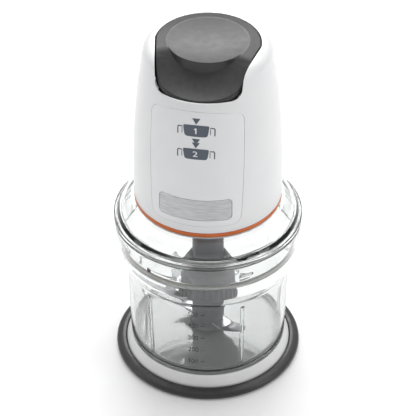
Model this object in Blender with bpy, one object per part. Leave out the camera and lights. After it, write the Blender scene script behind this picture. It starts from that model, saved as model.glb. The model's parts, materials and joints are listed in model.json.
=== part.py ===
"""A one-hand mini food processor: a base tray, clear bowl and cover, blades, and a motor unit with a button.

The frame: metres, +Z up, the origin on the table at the centre of the foot, and -Y the front.
Sizes below are millimetres and degrees. Angles round the body are counted from the front (-Y) towards +X.
"""

import math

import bmesh
import bpy
import numpy as np

MM = 0.001
GAP = 0.3  # between pieces that touch
RUN = 0.4  # between pieces that move past each other
LARGE_STEPS = 32
SMALL_STEPS = 20
TINY_STEPS = 12

# Base tray and its rubber ring
PLINTH_HEIGHT = 13.0
PLINTH_WALL = 2.2
RING_WIDTH = 7.2
RING_HEIGHT = 6.9

# Power unit
HOUSING_RADIUS = 51.8
HOUSING_HEIGHT = 121.8
HOUSING_TAPER = 7.8
HOUSING_WALL = 2.5
SHOULDER_ROUND = 7.6
ACCENT_HEIGHT = 3.4

# Bowl
BOWL_RADIUS = HOUSING_RADIUS + 4.2
BOWL_WALL = 2.2
BOWL_STRAIGHT = 62.2
BOWL_DRAFT = 1.6
COLLAR_HEIGHT = 44.2
COLLAR_FLARE = 8.8
LEDGE_DEPTH = 19.7
RIB_COUNT = 5
RIB_HEIGHT = 57.0
SPINDLE_RADIUS = 3.0

# Cover
COVER_WALL = 2.2
KEY_X = 30.0  # the two keys on the cover that fit slots in the power unit
SEAL_HEIGHT = 2.0
SEAT_HEIGHT = 15.8  # the power unit's seat above the bowl's rim
TURN_TO_UNLOCK = 22.5

# Blades
SHAFT_RADIUS = 10.8
HUB_RADIUS = 19.0
BLADE_THICKNESS = 1.5
BLADE_CLEARANCE = 4.0

# Button
BUTTON_RADIUS = 35.4
BUTTON_TRAVEL = 5.0
BUTTON_GAP = 0.5
DISH_DEPTH = 2.4
LIP_WIDTH = 0.8  # how far out the ring round the dish starts
CROWN_SLOPE = 0.22
BUTTON_RISE = 1.7  # the dish's rim above the housing's top
BUTTON_WALL = 2.2
FOLD_Y = -12.0  # in front of this the button's face folds down
FOLD_REACH = (0, 5, 14, 31)  # distances in front of FOLD_Y
FOLD_SLOPE = (0, 0.78, 0.78, 0.42)  # how steep the face is at each
POCKET_HALF_ANGLE = 44  # the recess inside the front wall that the tongue runs in
OPENING_LIP = 1.0  # the housing's wall along the foot of the button's opening

# Planetary gearbox
MODULE = 1.0
SUN_TEETH = 10
PLANET_TEETH = 11
RING_TEETH = SUN_TEETH + 2 * PLANET_TEETH
PLANETS = 3
GEAR_WIDTH = 7.0
PRESSURE_ANGLE = math.radians(20)
BACKLASH = 0.3

# Heights that follow from the sizes above
BOWL_FOOT_Z = PLINTH_HEIGHT + GAP
FLOOR_UNDER_Z = BOWL_FOOT_Z + 1.7
FLOOR_Z = FLOOR_UNDER_Z + BOWL_WALL
COLLAR_Z = BOWL_FOOT_Z + BOWL_STRAIGHT
RIM_Z = COLLAR_Z + COLLAR_HEIGHT
LEDGE_Z = RIM_Z - LEDGE_DEPTH
FLANGE_Z = RIM_Z + GAP
SEAT_Z = RIM_Z + SEAT_HEIGHT
UNIT_Z = SEAT_Z + GAP
ACCENT_Z = UNIT_Z + 1.0 + GAP
HOUSING_Z = ACCENT_Z + ACCENT_HEIGHT + GAP
HOUSING_TOP_Z = HOUSING_Z + HOUSING_HEIGHT
SHAFT_TOP_Z = SEAT_Z + 8.2
CUP_TOP_Z = UNIT_Z + 11.8
CASE_Z = CUP_TOP_Z + 2.4
CARRIER_Z = CASE_Z + 4.0
GEAR_Z = CARRIER_Z + 3.0
FRAME_Z = GEAR_Z + GEAR_WIDTH + 4.6
FAN_Z = FRAME_Z + 7.0
STATOR_Z = FAN_Z + 12.4
BUTTON_FOOT_Z = HOUSING_TOP_Z - 22.6
OPENING_FOOT_Z = BUTTON_FOOT_Z + 4.0
BRACKET_Z = BUTTON_FOOT_Z - BUTTON_TRAVEL - 2.4
STATOR_TOP_Z = BRACKET_Z - 17.0

# Radii that follow
DISH_RADIUS = BUTTON_RADIUS - 8.2
RIM_RADIUS = BOWL_RADIUS + BOWL_DRAFT + COLLAR_FLARE
PLINTH_RADIUS = BOWL_RADIUS + 3.5
RING_RADIUS = PLINTH_RADIUS + GAP + RING_WIDTH
LEDGE_INNER = RIM_RADIUS - 7.0
SKIRT_RADIUS = RIM_RADIUS - 5.5
SEAT_RADIUS = HOUSING_RADIUS + 1.8
COVER_HOLE = SHAFT_RADIUS + 0.8
BOSS_RADIUS = COVER_HOLE + 2.0
CUP_RADIUS = BOSS_RADIUS + 2.4
SOCKET_RADIUS = SHAFT_RADIUS - 2.5
SPINDLE_BORE = SPINDLE_RADIUS + RUN
ORBIT_RADIUS = MODULE * (SUN_TEETH + PLANET_TEETH) / 2
RING_GEAR_RADIUS = MODULE * RING_TEETH / 2 + 3.2
CASE_INNER = RING_GEAR_RADIUS + GAP
PIN_RADIUS = 2.0
PILLAR_ORBIT = HOUSING_RADIUS - 13.8
PILLAR_RADIUS = 4.5

WHITE_PLASTIC = ("white_plastic", (0.83, 0.83, 0.84, 1), 0.22, 0.0)
CLEAR_PLASTIC = ("clear_plastic", (0.93, 0.95, 0.96, 0.35), 0.05, 0.0)
DARK_PLASTIC = ("dark_grey_plastic", (0.09, 0.09, 0.10, 1), 0.42, 0.0)
HUB_PLASTIC = ("hub_plastic", (0.14, 0.14, 0.15, 1), 0.40, 0.0)
ORANGE_PLASTIC = ("orange_plastic", (0.62, 0.11, 0.01, 1), 0.35, 0.0)
NYLON = ("nylon", (0.75, 0.74, 0.68, 1), 0.45, 0.0)
BLACK_RUBBER = ("black_rubber", (0.03, 0.03, 0.03, 1), 0.60, 0.0)
SOFT_SEAL = ("seal_silicone", (0.80, 0.82, 0.83, 1), 0.35, 0.0)
STEEL = ("steel", (0.62, 0.62, 0.64, 1), 0.25, 1.0)
BADGE_METAL = ("badge_metal", (0.55, 0.56, 0.57, 1), 0.30, 1.0)
LAMINATION = ("lamination_steel", (0.30, 0.30, 0.32, 1), 0.50, 1.0)
COPPER = ("copper", (0.60, 0.24, 0.10, 1), 0.35, 1.0)
BRASS = ("brass", (0.66, 0.47, 0.16, 1), 0.35, 1.0)
CARBON = ("carbon", (0.03, 0.03, 0.03, 1), 0.70, 0.0)
CIRCUIT = ("circuit_green", (0.02, 0.16, 0.06, 1), 0.50, 0.0)


# Helpers ------------------------------------------------------------------------------------------


def clear_scene():
    for obj in list(bpy.data.objects):
        bpy.data.objects.remove(obj)


def material(finish):
    """The Principled material of a finish, made once."""
    name, colour, roughness, metallic = finish
    found = bpy.data.materials.get(name)
    if found:
        return found
    made = bpy.data.materials.new(name)
    made.use_nodes = True
    shader = made.node_tree.nodes["Principled BSDF"]
    shader.inputs["Base Color"].default_value = (*colour[:3], 1)
    shader.inputs["Alpha"].default_value = colour[3]
    shader.inputs["Roughness"].default_value = roughness
    shader.inputs["Metallic"].default_value = metallic
    return made


def axis_empty(name, at=(0, 0, 0), parent=None):
    """An empty on a joint's axis, which carries the pieces that move with that joint."""
    empty = bpy.data.objects.new(name, None)
    bpy.context.scene.collection.objects.link(empty)
    empty.location = [c * MM for c in at]
    empty.empty_display_size = 0.02
    empty.parent = parent
    return empty


def finished(bm, name, finish, at=(0, 0, 0), turn=(0, 0, 0), parent=None):
    """The object of a bmesh drawn in millimetres, placed at a point and turned by degrees."""
    bmesh.ops.recalc_face_normals(bm, faces=bm.faces)
    bmesh.ops.scale(bm, vec=(MM, MM, MM), verts=bm.verts)
    mesh = bpy.data.meshes.new(name)
    bm.to_mesh(mesh)
    bm.free()
    mesh.shade_smooth()
    mesh.set_sharp_from_angle(angle=math.radians(35))
    obj = bpy.data.objects.new(name, mesh)
    bpy.context.scene.collection.objects.link(obj)
    if finish:
        mesh.materials.append(material(finish))
    obj.location = [c * MM for c in at]
    obj.rotation_euler = [math.radians(a) for a in turn]
    obj.parent = parent
    return obj


def turned(name, finish, outline, steps=SMALL_STEPS, **place):
    """A solid turned about Z from an outline of (radius, z).

    The outline is a closed loop, or it has both ends on the axis."""
    bm = bmesh.new()
    verts = [bm.verts.new((r, 0, z)) for r, z in outline]
    edges = [bm.edges.new(pair) for pair in zip(verts, verts[1:])]
    if outline[0][0] or outline[-1][0]:
        edges.append(bm.edges.new((verts[-1], verts[0])))
    bmesh.ops.spin(
        bm, geom=verts + edges, axis=(0, 0, 1), cent=(0, 0, 0), dvec=(0, 0, 0),
        angle=2 * math.pi, steps=steps, use_merge=True, use_duplicate=False,
    )
    bmesh.ops.remove_doubles(bm, verts=bm.verts, dist=1e-4)
    return finished(bm, name, finish, **place)


def plate(name, finish, loops, low, high, **place):
    """A flat outline of (x, y) points, with a loop for each hole, raised from one height to another."""
    bm = bmesh.new()
    for points in loops:
        verts = [bm.verts.new((x, y, low)) for x, y in points]
        for pair in zip(verts, verts[1:] + verts[:1]):
            bm.edges.new(pair)
    bmesh.ops.triangle_fill(bm, use_beauty=True, use_dissolve=False, edges=bm.edges)
    raised = bmesh.ops.extrude_face_region(bm, geom=bm.faces[:])
    top = [v for v in raised["geom"] if isinstance(v, bmesh.types.BMVert)]
    bmesh.ops.translate(bm, vec=(0, 0, high - low), verts=top)
    return finished(bm, name, finish, **place)


def block(name, finish, low, high, **place):
    """A box between two corners."""
    outline = [(low[0], low[1]), (high[0], low[1]), (high[0], high[1]), (low[0], high[1])]
    return plate(name, finish, [outline], low[2], high[2], **place)


def sheet_solid(name, finish, front, back, wrap=False, **place):
    """A closed solid between two grids of points of the same shape (rows, columns, 3)."""
    rows, columns, _ = front.shape
    bm = bmesh.new()
    grids = [[[bm.verts.new(p) for p in row] for row in grid] for grid in (front, back)]
    last = columns if wrap else columns - 1
    for grid in grids:
        for i in range(rows - 1):
            for j in range(last):
                k = (j + 1) % columns
                bm.faces.new((grid[i][j], grid[i][k], grid[i + 1][k], grid[i + 1][j]))
    ends = (0, rows - 1)
    for i in ends:
        for j in range(last):
            k = (j + 1) % columns
            bm.faces.new((grids[0][i][j], grids[0][i][k], grids[1][i][k], grids[1][i][j]))
    if not wrap:
        for j in (0, columns - 1):
            for i in range(rows - 1):
                bm.faces.new((grids[0][i][j], grids[0][i + 1][j], grids[1][i + 1][j], grids[1][i][j]))
    bmesh.ops.remove_doubles(bm, verts=bm.verts, dist=1e-4)
    return finished(bm, name, finish, **place)


def combined(target, tools, operation):
    """The target cut by or joined to the tools, which stay in the scene as hidden guides."""
    for tool in tools:
        change = target.modifiers.new(tool.name, "BOOLEAN")
        change.operation = operation
        change.solver = "EXACT"
        change.object = tool
        tool.hide_render = True
        tool.display_type = "WIRE"
    return target


def cut(target, *tools):
    return combined(target, tools, "DIFFERENCE")


def fused(target, *tools):
    return combined(target, tools, "UNION")


def round_loop(radius, steps, at=(0, 0), start=0.0):
    """Points round a circle, from a start angle in radians."""
    angles = start + np.arange(steps) * 2 * math.pi / steps
    return [(at[0] + radius * math.cos(a), at[1] + radius * math.sin(a)) for a in angles]


def around(radius, degrees):
    """The (x, y) at an angle round the body, counted from the front."""
    a = math.radians(degrees)
    return radius * math.sin(a), -radius * math.cos(a)


def arc(centre_r, centre_z, radius_r, radius_z, first, last, steps):
    """Points (radius, z) on an elliptic arc between two angles in degrees, counted from +R towards +Z."""
    angles = np.radians(np.linspace(first, last, steps))
    return [(centre_r + radius_r * math.cos(a), centre_z + radius_z * math.sin(a)) for a in angles]


# Base ---------------------------------------------------------------------------------------------


def make_base():
    inside = PLINTH_RADIUS - PLINTH_WALL
    turned("base_plinth", WHITE_PLASTIC, [
        (0, PLINTH_HEIGHT + 1.6),
        (BOWL_RADIUS - 6.6, PLINTH_HEIGHT + 1.6),
        (BOWL_RADIUS - 6.2, PLINTH_HEIGHT),
        (BOWL_RADIUS + 0.2, PLINTH_HEIGHT),
        (BOWL_RADIUS + 0.6, PLINTH_HEIGHT - 0.4),
        (PLINTH_RADIUS, RING_HEIGHT - 0.2),
        (PLINTH_RADIUS, 1.2),
        (inside, 1.2),
        (inside, RING_HEIGHT - 0.2),
        (BOWL_RADIUS - 1.6, PLINTH_HEIGHT - PLINTH_WALL),
        (0, PLINTH_HEIGHT - PLINTH_WALL),
    ], LARGE_STEPS)
    bead = arc(RING_RADIUS - 3.2, 3.1, 3.2, 3.1, -90, 60, 6)
    turned("base_ring", BLACK_RUBBER, [
        *bead,
        (RING_RADIUS - 4.6, RING_HEIGHT),
        (PLINTH_RADIUS + GAP + 0.5, RING_HEIGHT - 0.1),
        (PLINTH_RADIUS + GAP, RING_HEIGHT - 0.7),
        (PLINTH_RADIUS + GAP, 1.2 - GAP),
        (inside - 2.0, 1.2 - GAP),
        (inside - 2.0, 0),
    ], LARGE_STEPS)


# Bowl ---------------------------------------------------------------------------------------------

# The collar's outline as shares of its flare and of its height: a quick flare, then a long easing.
COLLAR_SHAPE = [(0, 0), (0.08, 0.11), (0.26, 0.17), (0.46, 0.295), (0.61, 0.41), (0.82, 0.60), (1, 1)]


def collar_radius(z):
    """The bowl's outer radius at a height in its collar."""
    shares, heights = zip(*COLLAR_SHAPE)
    share = float(np.interp((z - COLLAR_Z) / COLLAR_HEIGHT, heights, shares))
    return BOWL_RADIUS + BOWL_DRAFT + COLLAR_FLARE * share


def make_bowl():
    levels = [COLLAR_Z + height * COLLAR_HEIGHT for _, height in COLLAR_SHAPE]
    outer = [(collar_radius(z), z) for z in levels]
    ledge_foot = LEDGE_Z - 11.5
    inner_flare = [(r - BOWL_WALL, z) for r, z in reversed(outer) if z < ledge_foot - 1]
    floor_radius = BOWL_RADIUS - BOWL_WALL
    pin_hole = SPINDLE_RADIUS + GAP
    bowl = turned("bowl", CLEAR_PLASTIC, [
        (0, FLOOR_UNDER_Z),
        (BOWL_RADIUS - 6.1, FLOOR_UNDER_Z),
        (BOWL_RADIUS - 5.7, BOWL_FOOT_Z),
        (BOWL_RADIUS - 1.6, BOWL_FOOT_Z),
        (BOWL_RADIUS - 0.3, BOWL_FOOT_Z + 1.0),
        (BOWL_RADIUS, BOWL_FOOT_Z + 2.8),
        *outer,
        (RIM_RADIUS - BOWL_WALL, RIM_Z),
        (collar_radius(LEDGE_Z) - BOWL_WALL, LEDGE_Z),
        (LEDGE_INNER, LEDGE_Z),
        (LEDGE_INNER, ledge_foot),
        *inner_flare,
        (floor_radius, FLOOR_Z + 3.4),
        (floor_radius - 1.0, FLOOR_Z + 1.0),
        (floor_radius - 3.4, FLOOR_Z),
        (7.0, FLOOR_Z),
        (6.6, FLOOR_Z + 6.3),
        (pin_hole, FLOOR_Z + 6.3),
        (pin_hole, FLOOR_Z - 1.0),
        (0, FLOOR_Z - 1.0),
    ], LARGE_STEPS)
    ribs = []
    for i in range(RIB_COUNT):
        angle = (2 * i + 1) * 180 / RIB_COUNT
        x, y = around(floor_radius - 0.5, angle)
        ribs.append(block(
            f"rib_guide_{i + 1}", None, (-0.9, -1.5, FLOOR_Z - 0.8), (0.9, 1.5, FLOOR_Z + RIB_HEIGHT),
            at=(x, y, 0), turn=(0, 0, angle),
        ))
    for i, angle in enumerate(lug_angles()):
        x, y = around(RIM_RADIUS - 4.0, angle)
        ribs.append(block(
            f"ramp_guide_{i + 1}", None, (-4.5, -1.0, LEDGE_Z + 9.0), (4.5, 1.1, LEDGE_Z + 11.0),
            at=(x, y, 0), turn=(0, 0, angle),
        ))
    fused(bowl, *ribs)
    turned("bowl_spindle", STEEL, [
        (0, FLOOR_Z - 0.7),
        (SPINDLE_RADIUS, FLOOR_Z - 0.7),
        (SPINDLE_RADIUS, COLLAR_Z + 2.6),
        (SPINDLE_RADIUS - 1.2, COLLAR_Z + 4.0),
        (0, COLLAR_Z + 4.0),
    ], TINY_STEPS)


def lug_angles():
    return [35 + 90 * i for i in range(4)]


# Blade assembly -----------------------------------------------------------------------------------

LOW_BLADE_Z = FLOOR_Z + 8.0
HIGH_BLADE_Z = COLLAR_Z - 11.0
BLADE_REACH = BOWL_RADIUS - BOWL_WALL - BLADE_CLEARANCE - 1.5
HUB_CORE = HUB_RADIUS - 7.5
HOLD_RADIUS = SPINDLE_BORE + 5.4


def blade_outline(angle, reach, clear=0.0):
    """A two-armed blade seen from above, with its hole: each arm sweeps back and narrows towards its tip."""
    beyond_hub = [HUB_RADIUS + 1, 26, 32, 38, 43, 47]
    stations = [HOLD_RADIUS + 0.4, HUB_CORE]
    if reach > HUB_RADIUS + 10:
        stations += [r for r in beyond_hub if r < reach - 1]
    stations = np.array(stations + [reach])
    points = []
    for arm in (0, 180):
        centre = math.radians(angle + arm - 90) - 0.30 * (stations / BLADE_REACH) ** 2
        half = 6.2 - 3.6 * (np.clip(stations - HUB_RADIUS, 0, None) / (BLADE_REACH - HUB_RADIUS)) ** 2 + clear
        spread = np.arcsin(half / stations)
        out = centre - spread
        back = centre + spread
        points += [(r * math.cos(a), r * math.sin(a)) for r, a in zip(stations, out)]
        points += [(r * math.cos(a), r * math.sin(a)) for r, a in zip(stations[::-1], back[::-1])]
        gap_from = back[0] + 0.25
        gap_to = out[0] + math.pi - 0.25
        ring = HOLD_RADIUS + clear
        points += [(ring * math.cos(a), ring * math.sin(a)) for a in np.linspace(gap_from, gap_to, 4)]
    hole = SPINDLE_BORE + 2.7 - clear
    return [points, round_loop(hole, TINY_STEPS)]


def make_blade(name, angle, z, rises, parent):
    """A pressed steel blade: flat inside the hub, and each arm bent up by its own rise towards the tip."""
    blade = plate(name, STEEL, blade_outline(angle, BLADE_REACH), z, z + BLADE_THICKNESS, parent=parent)
    along = np.array(around(1.0, angle))
    flat = HUB_RADIUS + 1
    for vert in blade.data.vertices:
        x, y = vert.co.x / MM, vert.co.y / MM
        radius = math.hypot(x, y)
        rise = rises[0] if np.dot((x, y), along) > 0 else rises[1]
        bend = max(0.0, (radius - flat) / (BLADE_REACH - flat)) ** 1.3
        vert.co.z += rise * bend * MM
    return blade


def make_blade_assembly():
    axis = axis_empty("blade_axis", (0, 0, FLOOR_Z))
    lift = -FLOOR_Z  # the pieces are drawn in the world's heights, under a parent at the floor's height
    place = {"parent": axis, "at": (0, 0, lift)}
    flare = HUB_RADIUS - HUB_CORE
    hub = turned("blade_hub", HUB_PLASTIC, [
        (0, SHAFT_TOP_Z - 9.0),
        (SOCKET_RADIUS, SHAFT_TOP_Z - 9.0),
        (SOCKET_RADIUS, SHAFT_TOP_Z),
        (SHAFT_RADIUS, SHAFT_TOP_Z),
        (SHAFT_RADIUS, COLLAR_Z + 9.0),
        (SHAFT_RADIUS + 3.1, COLLAR_Z + 8.7),
        (SHAFT_RADIUS + 3.4, COLLAR_Z + 5.5),
        (HUB_RADIUS - 1.5, COLLAR_Z + 3.0),
        (HUB_RADIUS, COLLAR_Z - 1.5),
        (HUB_RADIUS, HIGH_BLADE_Z - 3.5),
        (HUB_RADIUS - 0.2 * flare, HIGH_BLADE_Z - 7.0),
        (HUB_CORE, HIGH_BLADE_Z - 16.0),
        (HUB_CORE, LOW_BLADE_Z - 3.0),
        (HUB_CORE + 1.5, FLOOR_Z + 2.4),
        (HUB_CORE + 1.0, FLOOR_Z + 0.7),
        (7.0 + RUN, FLOOR_Z + 0.7),
        (7.0 + RUN, FLOOR_Z + 6.3 + 0.4),
        (SPINDLE_BORE, FLOOR_Z + 6.3 + 0.4),
        (SPINDLE_BORE, COLLAR_Z + 5.0),
        (0, COLLAR_Z + 5.0),
    ], SMALL_STEPS, **place)
    slots = []
    for name, angle, z in (("low_slot_guide", 57, LOW_BLADE_Z), ("high_slot_guide", 127, HIGH_BLADE_Z)):
        slots.append(plate(
            name, None, blade_outline(angle, HUB_RADIUS + 2, GAP),
            z - GAP, z + BLADE_THICKNESS + GAP, **place,
        ))
    cut(hub, *slots)
    for name, angle, z, rises in (
        ("lower_blade", 57, LOW_BLADE_Z, (20.0, 28.0)),
        ("upper_blade", 127, HIGH_BLADE_Z, (20.0, 16.0)),
    ):
        blade = make_blade(name, angle, z, rises, axis)
        blade.location = (0, 0, lift * MM)
    plate(
        "drive_socket", STEEL, [round_loop(SOCKET_RADIUS - GAP, SMALL_STEPS), dog_loop(0, 3.7, 6.5)],
        SHAFT_TOP_Z - 8.6, SHAFT_TOP_Z - 0.3, **place,
    )


def dog_loop(first, inner, outer, width=30):
    """Round a dog clutch: the inner radius at each of three teeth, and the outer radius between them."""
    points = []
    for tooth in range(3):
        centre = math.radians(first + 120 * tooth)
        half = math.radians(width / 2)
        for a in (centre - half, centre, centre + half):
            points.append((inner * math.cos(a), inner * math.sin(a)))
        for a in np.linspace(centre + half, centre + math.radians(120) - half, 5):
            points.append((outer * math.cos(a), outer * math.sin(a)))
    return points


# Cover --------------------------------------------------------------------------------------------


def make_cover():
    axis = axis_empty("cover_axis", (0, 0, 0))
    skirt_foot = LEDGE_Z + GAP + SEAL_HEIGHT + GAP
    skirt_inner = SKIRT_RADIUS - COVER_WALL
    collar_inner = collar_radius(LEDGE_Z) - BOWL_WALL
    seal_outer = collar_inner - 0.37
    turned("cover_seal", SOFT_SEAL, [
        (LEDGE_INNER + 0.4, LEDGE_Z + GAP),
        (seal_outer, LEDGE_Z + GAP),
        (seal_outer, LEDGE_Z + GAP + SEAL_HEIGHT),
        (LEDGE_INNER + 0.4, LEDGE_Z + GAP + SEAL_HEIGHT),
    ], LARGE_STEPS)
    crease = RIM_RADIUS - 4.6
    dome_rise = SEAT_Z - FLANGE_Z - 5.0
    dome = arc(SEAT_RADIUS - 0.6, FLANGE_Z + 5.0, crease - SEAT_RADIUS - 0.2, dome_rise, 0, 82, 6)
    under_rise = SEAT_Z - FLANGE_Z - 3.2 - COVER_WALL
    under = arc(SEAT_RADIUS - 1.8, FLANGE_Z + 3.2, crease - SEAT_RADIUS - 0.6, under_rise, 90, 8, 5)
    cover = turned("cover", CLEAR_PLASTIC, [
        (skirt_inner, skirt_foot),
        (SKIRT_RADIUS, skirt_foot),
        (SKIRT_RADIUS, FLANGE_Z),
        (RIM_RADIUS, FLANGE_Z),
        (RIM_RADIUS, FLANGE_Z + 1.8),
        (RIM_RADIUS - 0.7, FLANGE_Z + 2.8),
        (RIM_RADIUS - 2.5, FLANGE_Z + 2.6),
        (RIM_RADIUS - 4.0, FLANGE_Z + 5.3),
        (crease, FLANGE_Z + 5.5),
        *dome,
        (SEAT_RADIUS - 0.8, SEAT_Z),
        (BOSS_RADIUS, SEAT_Z),
        (BOSS_RADIUS, SEAT_Z + 6.5),
        (COVER_HOLE, SEAT_Z + 6.5),
        (COVER_HOLE, SEAT_Z - COVER_WALL),
        *under,
        (skirt_inner, FLANGE_Z),
    ], LARGE_STEPS, parent=axis)
    additions = []
    lug_out = collar_inner - SKIRT_RADIUS - 0.2
    for i, angle in enumerate(lug_angles()):
        x, y = around(SKIRT_RADIUS, angle)
        additions.append(block(
            f"lug_guide_{i + 1}", None, (-4.5, -1.0, LEDGE_Z + 6.0), (4.5, lug_out, LEDGE_Z + 8.5),
            at=(x, y, 0), turn=(0, 0, angle), parent=axis,
        ))
    for side in (-1, 1):
        additions.append(block(
            f"key_guide_{side + 2}", None,
            (side * KEY_X - 4, -1.5, SEAT_Z - 0.8), (side * KEY_X + 4, 1.5, SEAT_Z + 2.2),
            parent=axis,
        ))
    fused(cover, *additions)


# Power unit: shells -------------------------------------------------------------------------------


def housing_radius(z):
    """The housing's outer radius: nearly straight at the foot, drawing in faster towards the shoulder."""
    share = np.clip((z - HOUSING_Z - 10) / (HOUSING_HEIGHT - 18), 0, None)
    return HOUSING_RADIUS - HOUSING_TAPER * share**2.2


def wall_patch(name, finish, half_angle, low, high, corner, inner, outer, sag=0.0):
    """A piece of the housing's wall with round corners, between two depths from its outer surface.

    Its half angle runs from one value at the foot to another at the top. Its top edge sags at its ends."""
    turns = np.radians(np.linspace(0, 90, 3))
    bottom = low + corner * (1 - np.cos(turns))
    middle_rows = np.linspace(low + corner, high - corner, 4)[1:-1]
    z = np.concatenate([bottom, middle_rows, (low + high) - bottom[::-1]])
    middle = housing_radius((low + high) / 2)
    into_corner = np.clip(np.maximum(low + corner - z, z - (high - corner)), 0, corner)
    rounding = corner - np.sqrt(np.clip(corner**2 - into_corner**2, 0, None))
    half = np.radians(np.interp(z, (low, high), half_angle)) - rounding / middle
    across = np.linspace(-1, 1, 9)
    angle = half[:, None] * across[None, :]
    heights = z[:, None] - sag * across[None, :] ** 2 * ((z - low) / (high - low))[:, None]

    def surface(depth):
        radius = housing_radius(heights) + depth
        return np.stack([radius * np.sin(angle), -radius * np.cos(angle), heights], axis=-1)

    return sheet_solid(name, finish, surface(outer), surface(inner))


PANEL = {
    "half_angle": (36.3, 41.3),
    "low": HOUSING_Z + 6.0,
    "high": HOUSING_TOP_Z - 24.6,
    "corner": 7.0,
    "sag": 3.0,
}
BADGE = {"half_angle": (28.8, 28.8), "low": HOUSING_Z + 11.2, "high": HOUSING_Z + 27.9, "corner": 3.0}


def grown(patch, by):
    """A wall patch's size with this much added on every side, in millimetres."""
    wider = math.degrees(by / HOUSING_RADIUS)
    return {
        **patch,
        "half_angle": tuple(half + wider for half in patch["half_angle"]),
        "low": patch["low"] - by, "high": patch["high"] + by, "corner": patch["corner"] + by,
    }


def make_shells():
    shares = np.array([0, 0.1, 0.3, 0.45, 0.6, 0.72, 0.82, 0.91, 1])
    heights = HOUSING_Z + (HOUSING_HEIGHT - SHOULDER_ROUND) * shares
    outer = [(float(housing_radius(z)), z) for z in heights]
    shoulder_radius = outer[-1][0]
    shoulder = arc(
        shoulder_radius - SHOULDER_ROUND + 0.6, HOUSING_TOP_Z - SHOULDER_ROUND,
        SHOULDER_ROUND - 0.6, SHOULDER_ROUND, 15, 90, 5,
    )
    rim_inner = BUTTON_RADIUS - 8
    ledge_z = FRAME_Z - GAP
    inner = [(r - HOUSING_WALL, z) for r, z in outer]
    above = [p for p in inner if p[1] > ledge_z + 3]
    below = [p for p in inner if p[1] < ledge_z - 6]
    ledge_radius = HOUSING_RADIUS - 6.0
    housing = turned("housing", WHITE_PLASTIC, [
        *outer,
        *shoulder,
        (rim_inner, HOUSING_TOP_Z),
        (rim_inner, HOUSING_TOP_Z - HOUSING_WALL),
        (shoulder_radius - HOUSING_WALL - 3.0, HOUSING_TOP_Z - HOUSING_WALL),
        *reversed(above),
        (HOUSING_RADIUS - HOUSING_WALL - 0.3, ledge_z),
        (ledge_radius, ledge_z),
        (ledge_radius, ledge_z - 2.0),
        (HOUSING_RADIUS - HOUSING_WALL - 0.1, ledge_z - 5.5),
        *reversed(below),
    ], LARGE_STEPS)
    above_top = HOUSING_TOP_Z + 8
    opening = plan_prism("button_opening_guide", BUTTON_GAP, OPENING_FOOT_Z, above_top, HOUSING_RADIUS)
    opening_front = front_guide()
    combined(opening, [opening_front], "INTERSECT")
    pocket_sides = np.linspace(-POCKET_HALF_ANGLE, POCKET_HALF_ANGLE, 9)
    pocket_outline = [around(tongue_front() + BUTTON_GAP, angle) for angle in pocket_sides]
    pocket_outline += [around(tongue_front() - 6, angle) for angle in reversed(pocket_sides)]
    pocket = plate("tongue_pocket_guide", None, [pocket_outline], BUTTON_FOOT_Z - 3.5, OPENING_FOOT_Z + 1.2)
    recess = wall_patch("panel_recess_guide", None, **grown(PANEL, GAP), inner=-1.5, outer=3)
    gland_hole = turned("gland_hole_guide", None, [
        (0, HOUSING_RADIUS - 12),
        (5.8, HOUSING_RADIUS - 12),
        (5.8, HOUSING_RADIUS + 6),
        (0, HOUSING_RADIUS + 6),
    ], TINY_STEPS, at=(0, 0, GLAND_Z), turn=(-90, 0, 0))
    cut(housing, opening, pocket, recess, gland_hole)

    panel = wall_patch("front_panel", WHITE_PLASTIC, **PANEL, inner=-1.2, outer=0)
    badge_recess = wall_patch("badge_recess_guide", None, **grown(BADGE, GAP), inner=-0.7, outer=3)
    cut(panel, badge_recess)
    wall_patch("badge_plate", BADGE_METAL, **BADGE, inner=-0.4, outer=0.0)

    turned("accent_ring", ORANGE_PLASTIC, [
        (HOUSING_RADIUS - 2.6, ACCENT_Z),
        (HOUSING_RADIUS - 0.6, ACCENT_Z),
        (HOUSING_RADIUS, ACCENT_Z + 0.6),
        (HOUSING_RADIUS, ACCENT_Z + ACCENT_HEIGHT),
        (HOUSING_RADIUS - 2.6, ACCENT_Z + ACCENT_HEIGHT),
    ], LARGE_STEPS)
    make_bottom_plate()
    make_gland()


GLAND_Z = HOUSING_Z + 14.0


def make_gland():
    """The moulded sleeve in the rear wall that the mains lead comes out of."""
    wall_in = HOUSING_RADIUS - HOUSING_WALL
    turned("cord_gland", BLACK_RUBBER, [
        (7.4, wall_in - 3.4),
        (7.4, wall_in - 1.2),
        (5.3, wall_in - 1.2),
        (5.3, HOUSING_RADIUS + 0.5),
        (6.6, HOUSING_RADIUS + 0.5),
        (6.6, HOUSING_RADIUS + 1.8),
        (4.3, HOUSING_RADIUS + 12.5),
        (2.9, HOUSING_RADIUS + 12.5),
        (2.9, wall_in - 3.4),
    ], TINY_STEPS, at=(0, 0, GLAND_Z), turn=(-90, 0, 0))


def pillar_angles():
    return [60, 200, 300]


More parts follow.
